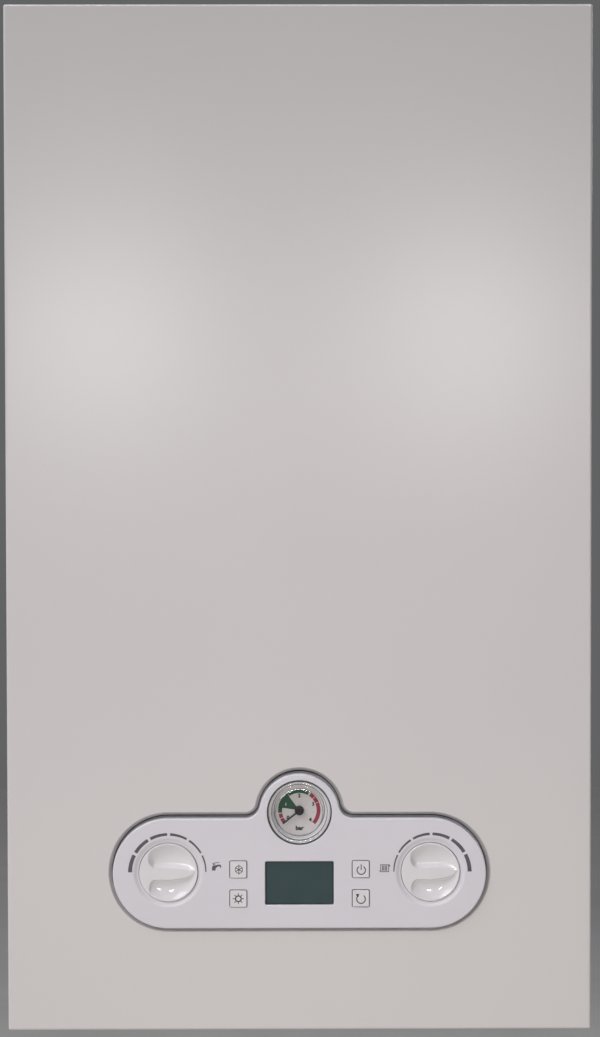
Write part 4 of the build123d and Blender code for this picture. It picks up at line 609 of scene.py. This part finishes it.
def knobDepths(points):
    # how far the face lies below the knob's front, at points across it
    form = knobForm
    depth = np.zeros(len(points))
    bowl = form["bowlRadius"]
    fromRim = np.clip((bowl - np.linalg.norm(points, axis=1)) / form["rimWall"], 0, 1)
    gentle = 1 - (1 - fromRim) ** form["rimEase"]
    for scoop, turns in (("upper", 0), ("lower", 360)):
        line = curveThrough(form[scoop])
        first = math.degrees(math.atan2(line[0][1], line[0][0])) % 360
        last = math.degrees(math.atan2(line[-1][1], line[-1][0])) + turns
        inside = insideOf(points, line + arcPoints(0, 0, bowl, last, first, 40))
        fromGrip = np.clip(distanceTo(points, line) / form[scoop + "Wall"], 0, 1)
        steep = 1 - (1 - fromGrip) ** form["wallEase"]
        depth = np.where(inside, form[scoop + "Depth"] * steep * gentle, depth)
    return depth


def buildKnob(name, node, x):
    form = knobForm
    front, back = boxOf(node)[3] - form["sink"], boxOf("control_box")[3] + form["foot"]
    shell = Shell(name, "white_knobs")
    height = fasciaPlaces["knobHeight"]
    flat = form["radius"] - form["edge"]
    spokes, rings = form["spokes"], form["rings"]
    radii = [flat * (i / rings) ** form["crowding"] for i in range(1, rings + 1)]
    grid = [circleOutline(0, 0, r, spokes) for r in radii]
    depths = knobDepths(np.array([p for ring in grid for p in ring])).reshape(rings, spokes)
    made = shell.rows([[at(x + px, front - d, height + pz) for (px, pz), d in zip(*pair)]
                       for pair in zip(grid, depths)])
    centre = shell.bm.verts.new(at(x, front - knobDepths(np.array([(0.0, 0.0)]))[0], height))
    for i in range(spokes):
        shell.face((centre, made[0][i], made[0][(i + 1) % spokes]))
    rim = roundOver(form["edge"], front, 8)[1:] + [(0, back)]
    outer = shell.loft(lambda inset: circleOutline(x, height, form["radius"] - inset, spokes), rim)
    shell.bridge(made[-1], outer[0])
    shell.face(list(reversed(outer[-1])))
    shell.finish(node, [node], sharp=form["sharp"])


def strokeOutline(line, width):
    # closed outline round a line of points, square at its ends
    left, right = [], []
    for i, (x, y) in enumerate(line):
        before, after = line[max(i - 1, 0)], line[min(i + 1, len(line) - 1)]
        run = Vector((after[0] - before[0], after[1] - before[1])).normalized()
        left.append((x - run.y * width / 2, y + run.x * width / 2))
        right.append((x + run.y * width / 2, y - run.x * width / 2))
    return left + right[::-1]


def ray(turn, inner, outer, width):
    # straight line of a sign, between two distances along a direction
    t = math.radians(turn)
    return [(r * math.cos(t), r * math.sin(t)) for r in (inner, outer)], width


# printed signs about their centres: rings as radius and width, lines as points and width
signs = {
    "frost": {
        "shift": 0.4, "rings": [(2.5, 0.42)],
        "lines": [ray(90, -3.4, 3.4, 0.5), ray(150, -2.9, 2.9, 0.5), ray(210, -2.9, 2.9, 0.5)],
    },
    "summer": {
        "shift": 0.0, "rings": [(1.95, 0.85)],
        "lines": [ray(turn, 2.5, 3.8, 0.55) for turn in range(0, 360, 45)],
    },
    "power": {
        "shift": 0.0, "rings": [],
        "lines": [(arcPoints(0.3, -0.6, 2.85, 122, 418, 40), 0.68), ([(0.25, -0.5), (0.25, 3.4)], 0.62)],
    },
    "reset": {
        "shift": 0.0, "rings": [],
        "lines": [
            (arcPoints(0.1, -0.4, 2.95, 53, -222, 40), 0.72),
            ([(-2.3, 0.9), (-2.25, 1.6), (-2.15, 2.9)], 0.5),
            ([(-3.3, 2.75), (-2.3, 2.75), (-1.2, 2.75)], 0.6),
            ([(-1.7, 2.6), (-1.75, 1.9), (-1.9, 1.2)], 0.6),
            ([(-2.9, 2.5), (-2.6, 2.0), (-2.2, 1.4)], 0.5),
        ],
    },
}
buttonForm = {
    "size": 11.2, "corner": 0.8, "cornerEase": 0.6, "edge": 0.25, "back": 279.0,
    "ink": 0.05, "inkSink": 0.02, "inkThick": 0.06, "hollow": 0.12,
    # the face is pressed in a little inside its border: how far in, and how deep
    "face": [(2.1, 0.12), (1.8, 0.12), (1.1, 0.02), (0.85, 0.0)],
}


def buildButton(kind):
    button, sign, node = buttonForm, signs[kind], kind + "_button"
    x, height = buttonPlaces[kind]
    front = boxOf(node)[3] - button["ink"]
    shell = Shell(node + "Cap", "white_buttons", "dark_ink_and_gap_shade")

    def outline(inset):
        size, corner = button["size"] - 2 * inset, button["corner"] - inset * button["cornerEase"]
        return roundedOutline(x, height, size, size, corner, 5)

    steps = [(i, front - deep) for i, deep in button["face"]] + roundOver(button["edge"], front, 5)
    rings = shell.loft(outline, steps + [(0, button["back"])])
    shell.close(rings[-1], rings[0])
    shell.paint = 1
    low = front - button["hollow"] - button["inkSink"]
    high = low + button["inkThick"]
    x += sign["shift"]
    for radius, width in sign["rings"]:
        outer, inner = (circleOutline(x, height, radius + side * width / 2, 40) for side in (1, -1))
        shell.band(outer, inner, low, high)
    for line, width in sign["lines"]:
        shell.plate([(x + px, height + pz) for px, pz in strokeOutline(line, width)], low, high)
    shell.finish(node, [node])


printForm = {
    "thick": 0.06, "sink": 0.02,
    # a scale: six segments that thin out towards the middle of the panel
    "segments": 6, "scaleRadius": 25.0, "span": 26.5, "gap": 4.2, "widest": 2.8, "narrowest": 0.8,
    "raise": 0.4, "shift": 0.3, "steps": 12,
    "tapPlace": (-56.7, 113.2),
    "tap": [
        [(-3.2, -2.7), (-0.7, -2.7), (-0.5, -1.0), (1.2, 0.1), (2.2, 0.1), (2.6, -0.9), (3.3, -0.7),
         (2.9, 1.2), (1.2, 1.4), (-0.6, 0.9), (-2.6, 0.7), (-3.0, -0.6)],
        [(-2.6, 1.1), (-1.0, 1.2), (-0.8, 1.9), (-2.4, 1.7)],
        [(-2.7, 1.9), (2.0, 2.7), (1.9, 3.1), (-2.8, 2.4)],
    ],
    # the radiator's bars: left, bottom, width and height
    "radiatorPlace": (58.2, 111.8),
    "radiator": [(-1.85 + 0.98 * i, -1.75, 0.62, 3.6) for i in range(4)] + [
        (-3.0, -2.6, 6.0, 0.5), (-3.0, 2.1, 6.0, 0.5), (-3.0, -2.1, 0.45, 4.2), (2.5, -2.1, 0.5, 4.2),
        (3.05, 1.1, 0.7, 0.9), (3.0, 1.7, 0.4, 0.9), (-3.6, -2.1, 0.55, 0.6),
    ],
}


def buildPrint():
    # pad printing on the fascia: the two scales and the signs beside them
    ink = printForm
    shell = Shell("fasciaPrint", "grey_ink")
    back, front = fasciaFront - ink["sink"], fasciaFront + ink["thick"] - ink["sink"]
    height = fasciaPlaces["knobHeight"] + ink["raise"]
    for side in (-1, 1):
        x = side * fasciaPlaces["knobX"] + ink["shift"]
        # segment 0 is the thick one, at the outer side
        for i in range(ink["segments"]):
            start = i * (ink["span"] + ink["gap"])
            outer, inner = [], []
            for step in range(ink["steps"] + 1):
                angle = start + ink["span"] * step / ink["steps"]
                width = ink["widest"] + (ink["narrowest"] - ink["widest"]) * angle / 180
                t = math.radians(angle)
                for line, radius in ((inner, ink["scaleRadius"]), (outer, ink["scaleRadius"] + width)):
                    line.append((x + side * radius * math.cos(t), height + radius * math.sin(t)))
            shell.plate(outer + inner[::-1], back, front)
    x, height = ink["tapPlace"]
    for outline in ink["tap"]:
        shell.plate([(x + px, height + pz) for px, pz in outline], back, front)
    x, height = ink["radiatorPlace"]
    for px, pz, width, tall in ink["radiator"]:
        outline = [(px, pz), (px + width, pz), (px + width, pz + tall), (px, pz + tall)]
        shell.plate([(x + a, height + b) for a, b in outline], back, front)
    shell.finish("control_box")


windowForm = {"width": 46.4, "tall": 29.4, "border": 0.55, "apron": 0.3, "edge": 0.35, "bevel": 0.1,
              "corner": 0.8, "thick": 2.4}


def buildWindow():
    # acrylic window over the display, with a thin dark border
    window = windowForm
    front = boxOf("display_window")[3]
    shell = Shell("displayWindow", "clear_window", "window_edge")
    height, border, edge = fasciaPlaces["windowHeight"], window["border"], window["edge"]
    back = front - window["thick"]

    def outline(inset):
        width, tall = window["width"] - 2 * inset, window["tall"] - 2 * inset
        return roundedOutline(0, height, width, tall, window["corner"] - inset / 2, 5)

    middle = shell.loft(outline, [(border + window["apron"], front), (border, front)])
    shell.face(middle[0])
    shell.paint = 1
    steps = [(edge, front), (edge / 2, front - window["bevel"]), (0, front - edge), (0, back)]
    rim = shell.loft(outline, steps)
    shell.bridge(middle[-1], rim[0])
    shell.face(list(reversed(rim[-1])))
    shell.finish("control_box", ["display_window"])


gaugeForm = {
    "height": fasciaPlaces["gaugeHeight"], "zero": 219.0, "bevel": 0.1,
    "bandOuter": 14.6, "bandWidth": 2.7, "border": 0.1, "ink": 0.05, "inkSink": 0.02,
    # printed bands from a start to an end angle; a wedge runs in to the middle
    "bands": [
        ("white_ink", 219, 60.8, False), ("white_ink", 174.4, 124.4, True), ("white_ink", 56.2, -42, False),
        ("red_ink", 219, 204.6, False), ("red_ink", 203.2, 189.8, False), ("green_ink", 187.6, 174.6, False),
        ("green_ink", 172.4, 126.4, True), ("green_ink", 123.6, 60.8, False), ("red_ink", 56.2, 41.2, False),
        ("red_ink", 40.2, 23.4, False), ("red_ink", 22.2, -42, False),
    ],
    # figures: text, place beside and above the middle, size, ink
    "figures": [
        ("0", -7.8, -5.2, 3.5, "black_ink"), ("1", -9.3, 4.0, 2.4, "white_ink"),
        ("2", 0.0, 10.0, 3.4, "black_ink"), ("3", 9.5, 4.2, 3.4, "black_ink"),
        ("4", 7.6, -6.6, 3.4, "black_ink"), ("bar", 0.1, -12.4, 4.1, "black_ink"),
    ],
    "figureThick": 0.01, "figureBold": 0.05,
}


def gaugeCircle(radius, steps=128):
    return circleOutline(0, gaugeForm["height"], radius, steps)


def sector(outer, inner, start, end):
    # outline of a band, or of a wedge if it has no inner radius
    steps = max(2, int(abs(end - start) / 4))
    height = gaugeForm["height"]
    out = arcPoints(0, height, outer, start, end, steps)
    return out + (arcPoints(0, height, inner, end, start, steps) if inner else [(0, height)])


def addFigure(name, text, x, height, size, depth, finishName):
    # generic figures, turned to a mesh
    curve = bpy.data.curves.new(name, "FONT")
    curve.body = text
    curve.size = size * mm
    curve.align_x = "CENTER"
    curve.align_y = "CENTER"
    curve.extrude = gaugeForm["figureThick"] * mm
    curve.offset = gaugeForm["figureBold"] * size * mm
    curve.resolution_u = 3
    writer = bpy.data.objects.new(name + "Curve", curve)
    intoScene(writer)
    writer.rotation_euler = (math.pi / 2, 0, 0)
    writer.location = at(x, depth, height)
    bpy.context.view_layer.update()
    mesh = bpy.data.meshes.new_from_object(writer.evaluated_get(bpy.context.evaluated_depsgraph_get()))
    mesh.transform(writer.matrix_world)
    bpy.data.objects.remove(writer)
    mesh.materials.clear()
    mesh.materials.append(finishes[finishName])
    figure = bpy.data.objects.new(name, mesh)
    intoScene(figure)
    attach(figure, "control_box")


def buildDial():
    form = gaugeForm
    height = form["height"]
    right, back, front = boxOf("gauge_dial")[1:4]
    shell = Shell("gaugeDial", "gauge_face", "red_ink", "green_ink", "white_ink")
    steps = ((right, back), (right, front - form["bevel"]), (right - form["bevel"], front))
    rings = shell.loft(lambda r: gaugeCircle(r, 96), steps)
    shell.close(rings[0], rings[-1])
    low, ink = front - form["inkSink"], form["ink"]
    for inkName, start, end, wedge in form["bands"]:
        shell.paint = shell.finishNames.index(inkName)
        # the white lies under the colours and shows round them as a fine border
        layer, border = (0, form["border"]) if inkName == "white_ink" else (1, 0)
        inner = 0 if wedge else form["bandOuter"] - form["bandWidth"] - border
        outline = sector(form["bandOuter"] + border, inner, start, end)
        shell.plate(outline, low + layer * ink / 2, low + ink * (1 + layer))
    shell.finish("control_box", ["gauge_dial"])
    for i, (text, x, z, size, finishName) in enumerate(form["figures"]):
        addFigure("dialFigure" + str(i), text, x, height + z, size, front + 2 * ink, finishName)


needleForm = {
    "length": 14.6, "tail": 2.0, "halfWidths": (0.8, 0.62, 0.42), "blade": 0.35, "bladeRaise": 0.7,
    "back": 274.5,
    # the hub's profile: radius and depth from the wall
    "hub": [(3.2, 274.5), (3.2, 275.8), (3.0, 276.2), (2.5, 276.4), (1.5, 276.4), (1.3, 276.15)],
}


def buildNeedle():
    # stamped pointer pressed on a turned hub
    needle = needleForm
    shell = Shell("gaugeNeedle", "gauge_black")
    height = gaugeForm["height"]
    rings = shell.loft(lambda r: gaugeCircle(r, 48), needle["hub"])
    shell.close(rings[0], rings[-1])
    t = math.radians(gaugeForm["zero"])
    out, side = Vector((math.cos(t), math.sin(t))), Vector((-math.sin(t), math.cos(t)))
    blade = list(zip((-needle["tail"], 0, needle["length"]), needle["halfWidths"]))
    blade += [(a, -b) for a, b in reversed(blade)]
    outline = [(out.x * a + side.x * b, height + out.y * a + side.y * b) for a, b in blade]
    low = needle["back"] + needle["bladeRaise"]
    shell.plate(outline, low, low + needle["blade"])
    shell.finish("gauge_needle", ["gauge_needle"])


lensForm = {
    # profile as radius and drop from the CAD's front: a slightly domed window whose chamfer catches
    # the ceiling lights, a low flat ring and a raised outer ring, then back along the inside
    "profile": [
        (0.001, 0.3), (8, 0.32), (13, 0.36), (15.6, 0.4), (15.85, 0.46), (16.0, 0.55), (16.9, 1.2),
        (17.0, 1.35), (17.05, 2.1), (17.6, 2.1), (18.6, 2.05), (18.85, 2.1), (19.0, 2.3), (19.2, 1.7),
        (19.5, 1.4), (20.0, 1.2), (20.5, 1.15), (20.8, 1.3), (21.0, 1.7), (21.0, 3.9), (20.8, 4.2),
        (19.8, 4.2), (19.4, 3.9), (18.8, 3.5), (17.6, 3.45), (16.5, 3.4), (16.4, 2.3), (16.25, 2.1),
        (15.35, 1.45), (15.1, 1.36), (13, 1.3), (8, 1.24), (0.001, 1.2),
    ],
    "sharp": 75, "weld": 0.00001,
}


def buildLens():
    # clear cap of even thickness
    front = boxOf("gauge_lens")[3]
    shell = Shell("gaugeLens", "gauge_clear")
    rings = shell.loft(gaugeCircle, [(r, front - drop) for r, drop in lensForm["profile"]])
    shell.close(rings[0], rings[-1])
    bmesh.ops.remove_doubles(shell.bm, verts=shell.bm.verts, dist=lensForm["weld"] * mm)
    shell.finish("control_box", ["gauge_lens"], sharp=lensForm["sharp"])


ringForm = {
    "foot": 17.6, "mouth": 19.0, "outer": 21.6, "lip": 0.4, "belowCap": 4.3,
    # dark bands of painted shade for the gaps at the dial's edge, round the mouth and outside the cap: radius
    # and width
    "footGapShade": (17.35, 0.3), "mouthGapShade": (19.1, 0.35), "gapShadeSink": 0.02, "gapShadeRaise": 0.04,
    "rim": (21.35, 0.16), "rimTall": 2.3,
}


def buildGaugeRing():
    # white cone between the dial and the clear cap's skirt
    ring = ringForm
    front = boxOf("gauge_lens")[3] - ring["belowCap"]
    back = boxOf("gauge_dial")[3]
    shell = Shell("gaugeRing", "gauge_white", "dark_ink_and_gap_shade")
    lip, sink, rise = ring["lip"], ring["gapShadeSink"], ring["gapShadeRaise"]
    profile = [(ring["foot"], back - lip), (ring["foot"], back), (ring["mouth"] - lip, front - lip),
               (ring["mouth"], front), (ring["outer"], front), (ring["outer"], back - lip)]
    rings = shell.loft(gaugeCircle, profile)
    shell.bridge(rings[-1], rings[0])
    # painted shade: dark bands for the shadowed gaps at the dial's edge and round the mouth, and the thin
    # dark rim outside the cap
    shell.paint = 1
    gapShades = [(ring["footGapShade"], back - sink, back + rise), (ring["mouthGapShade"], front - sink, front + rise),
              (ring["rim"], front, front + ring["rimTall"])]
    for (radius, width), rear, fore in gapShades:
        shell.band(gaugeCircle(radius + width / 2), gaugeCircle(radius - width / 2), rear, fore)
    shell.finish("control_box")


def roundedPath(points, radius, steps=6):
    # line through the points with its corners turned on a radius, which takes at most 0.45 of a side
    most = 0.45
    path = [Vector(points[0])]
    for before, corner, after in zip(points, points[1:], points[2:]):
        before, corner, after = Vector(before), Vector(corner), Vector(after)
        one, two = before - corner, after - corner
        reach = min(radius, one.length * most, two.length * most)
        start, end = corner + one.normalized() * reach, corner + two.normalized() * reach
        for i in range(steps + 1):
            t = i / steps
            path.append(start.lerp(corner, t).lerp(corner.lerp(end, t), t))
    path.append(Vector(points[-1]))
    return path


def evenSteps(path, step):
    # the same line cut into lengths of no more than the step
    made = [path[0]]
    for start, end in zip(path, path[1:]):
        count = max(1, math.ceil((end - start).length / step))
        made += [start.lerp(end, (i + 1) / count) for i in range(count)]
    return made


def addTube(shell, points, radius, bend, sides=16, step=4.0):
    # x, depth and height along the middle of the tube; the ring turns with the path and never twists
    path = evenSteps(roundedPath(points, bend), step)
    across = None
    rings = []
    for i, place in enumerate(path):
        run = (path[min(i + 1, len(path) - 1)] - path[max(i - 1, 0)]).normalized()
        if across is None:
            across = run.orthogonal().normalized()
        across = (across - run * across.dot(run)).normalized()
        other = run.cross(across)
        ring = []
        for k in range(sides):
            t = 2 * math.pi * k / sides
            spot = place + (across * math.cos(t) + other * math.sin(t)) * radius
            ring.append(at(spot.x, spot.y, spot.z))
        rings.append(ring)
    made = shell.rows(rings)
    shell.close(made[0], made[-1])


capillaryForm = {
    "radius": 1.2, "bend": 6,
    "route": [(-130, 130.3, 96), (-130, 190, 96), (-138, 197, 124), (-134, 203, 150), (-134, 232, 150),
              (-118, 247, 156), (-40, 247, 153), (-4.3, 247, 150)],
}


def buildCapillary():
    # thin copper tube from the flow pipe to the gauge
    shell = Shell("capillaryTube", "copper")
    addTube(shell, capillaryForm["route"], capillaryForm["radius"], capillaryForm["bend"])
    piece = shell.finish(None, ["capillary"])
    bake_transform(piece)


loomForm = {
    "radius": 2.6, "bend": 8,
    "routes": [
        [(-40, 211.2, 70), (-40, 199, 70), (-40, 199, 180), (-40, 172, 180)],
        [(94, 211.2, 70), (94, 199, 70), (94, 199, 140), (94, 167, 155), (94, 167, 170)],
        [(40, 211.2, 70), (40, 199, 70), (40, 199, 225), (150, 217, 246), (150, 217, 598), (9, 217, 598)],
    ],
}


def buildLoom():
    # three leads from the control box to the gas valve, the pump and the fan, with slack behind the box
    shell = Shell("wiringLeads", "black_cable")
    for route in loomForm["routes"]:
        addTube(shell, route, loomForm["radius"], loomForm["bend"])
    piece = shell.finish(None, ["wiring_loom"])
    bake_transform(piece)


buildCover()
buildFascia()
buildPrint()
buildWindow()
buildKnob("hotWaterKnob", "hot_water_knob", -fasciaPlaces["knobX"])
buildKnob("heatingKnob", "heating_knob", fasciaPlaces["knobX"])
for kind in signs:
    buildButton(kind)
buildDial()
buildNeedle()
buildLens()
buildGaugeRing()
buildCapillary()
buildLoom()
print("cover and control panel built")


partSharp = 32  # degrees at which an edge of a carried-over piece shows as an edge
for part in frame["record"]["subparts"]:
    mesh = nodes[part["node"]].data
    mesh.materials.clear()
    mesh.materials.append(finishes[part["material_slot"]])
    mesh.shade_smooth()
    mesh.set_sharp_from_angle(angle=math.radians(partSharp))
print("carried-over pieces finished")


stage = {"drop": 1.2, "size": 14.0, "low": "d6d5d3", "high": "dcdbd9", "rough": 0.85, "wear": 220}


def addStage():
    # the boiler hangs at its usual height over a plain pale floor
    mesh = bpy.data.meshes.new("floor")
    half, low = stage["size"] / 2, casing["foot"] - stage["drop"]
    corners = [(-half, -half, low), (half, -half, low), (half, half, low), (-half, half, low)]
    mesh.from_pydata(corners, [], [(0, 1, 2, 3)])
    material, tree, shader = newMaterial("paintedScreed", stage["low"], Roughness=stage["rough"])
    wear = noiseOf(tree, stage["wear"])
    tintBy(tree, shader, wear.outputs["Fac"], stage["low"], stage["high"])
    mesh.materials.append(material)
    floor = bpy.data.objects.new("floor", mesh)
    intoScene(floor)


# places in metres and power in watts; a softbox: place, target, size, power, colour
studio = {
    "key": ((-3.4, -3.0, 3.8), (0, -0.28, -0.3), (4.0, 4.0), 222, "fcfcff"),
    "low": ((0, -1.7, -1.0), (0, -0.28, -0.55), (1.4, 0.6), 5.4, "fff6ea"),
    "rear": ((1.6, 2.2, 1.2), (0, 0, -0.3), (1.6, 1.6), 26, "ffffff"),
    # two lamps that leave the round highlights on the cover: place, target
    "left": ((-0.417, -2.6, 0.07), (-0.13, -0.28, -0.42)),
    "right": ((0.367, -2.6, 0.07), (0.11, -0.28, -0.42)),
    "spotCone": 30, "spotRadius": 0.15, "spotPower": 22,
    # a strip draws the arc on the gauge's cap, and small ceiling lamps leave sparks on the knobs
    "strip": ((0, -1.9, 2.3), (0, -0.28, -0.5), (3.6, 0.15), 70, "ffffff"),
    "lampX": (-0.55, 0.0, 0.5), "lampY": (-1.15, -1.55), "lampStep": -0.1, "lampHeight": 1.9,
    "lampTarget": (0, -0.28, -0.5), "lampSize": (0.09, 0.09), "lampPower": 3,
    "air": "e9eaec", "airStrength": 0.15,
}


def addLamp(name, data, place, target):
    light = bpy.data.objects.new(name, data)
    light.location = place
    light.rotation_euler = (Vector(target) - Vector(place)).to_track_quat("-Z", "Y").to_euler()
    intoScene(light)
    return light


def addSoftbox(name, place, target, size, power, colour, glossy=True, diffuse=True):
    data = bpy.data.lights.new(name, "AREA")
    data.shape = "RECTANGLE"
    data.size, data.size_y = size
    data.energy = power
    data.color = hexColour(colour)[:3]
    light = addLamp(name, data, place, target)
    light.visible_glossy, light.visible_diffuse = glossy, diffuse


def addSpot(name, place, target):
    data = bpy.data.lights.new(name, "SPOT")
    data.spot_size, data.spot_blend = math.radians(studio["spotCone"]), 1.0
    data.shadow_soft_size = studio["spotRadius"]
    data.energy = studio["spotPower"]
    addLamp(name, data, place, target)


def addLights():
    addSoftbox("keySoftbox", *studio["key"])
    addSoftbox("lowFill", *studio["low"], glossy=False)
    addSoftbox("rearFill", *studio["rear"])
    addSpot("leftLamp", *studio["left"])
    addSpot("rightLamp", *studio["right"])
    addSoftbox("ceilingStrip", *studio["strip"], diffuse=False)
    for i, x in enumerate(studio["lampX"]):
        for j, y in enumerate(studio["lampY"]):
            place = (x, y + studio["lampStep"] * i, studio["lampHeight"])
            addSoftbox("ceilingLamp" + str(2 * i + j + 1), place, studio["lampTarget"], studio["lampSize"],
                       studio["lampPower"], "ffffff", diffuse=False)
    world = bpy.data.worlds.new("studioAir")
    world.use_nodes = True
    background = world.node_tree.nodes["Background"]
    background.inputs["Color"].default_value = hexColour(studio["air"])
    background.inputs["Strength"].default_value = studio["airStrength"]
    bpy.context.scene.world = world


# fitted to the four corners of the casing in the photograph; metres, degrees and mm of film
shot = {
    "place": (-0.0028, -1.38, -0.2672), "pitch": -1.139, "yaw": -0.186, "roll": 0.097,
    "lens": 56.0, "film": 36.0,
}


def addCamera():
    data = bpy.data.cameras.new("photoCamera")
    data.sensor_fit = "VERTICAL"
    data.sensor_height = shot["film"]
    data.lens = shot["lens"]
    camera = bpy.data.objects.new("photoCamera", data)
    camera.location = shot["place"]
    turn = Matrix.Identity(3)
    for angle, axis in ((shot["yaw"], "Z"), (shot["pitch"], "X"), (shot["roll"], "Y"), (90, "X")):
        turn = turn @ Matrix.Rotation(math.radians(angle), 3, axis)
    camera.rotation_euler = turn.to_euler()
    intoScene(camera)
    bpy.context.scene.camera = camera


addStage()
addLights()
addCamera()
bpy.context.scene.view_settings.view_transform = "Standard"
print("stage, lights and camera set")
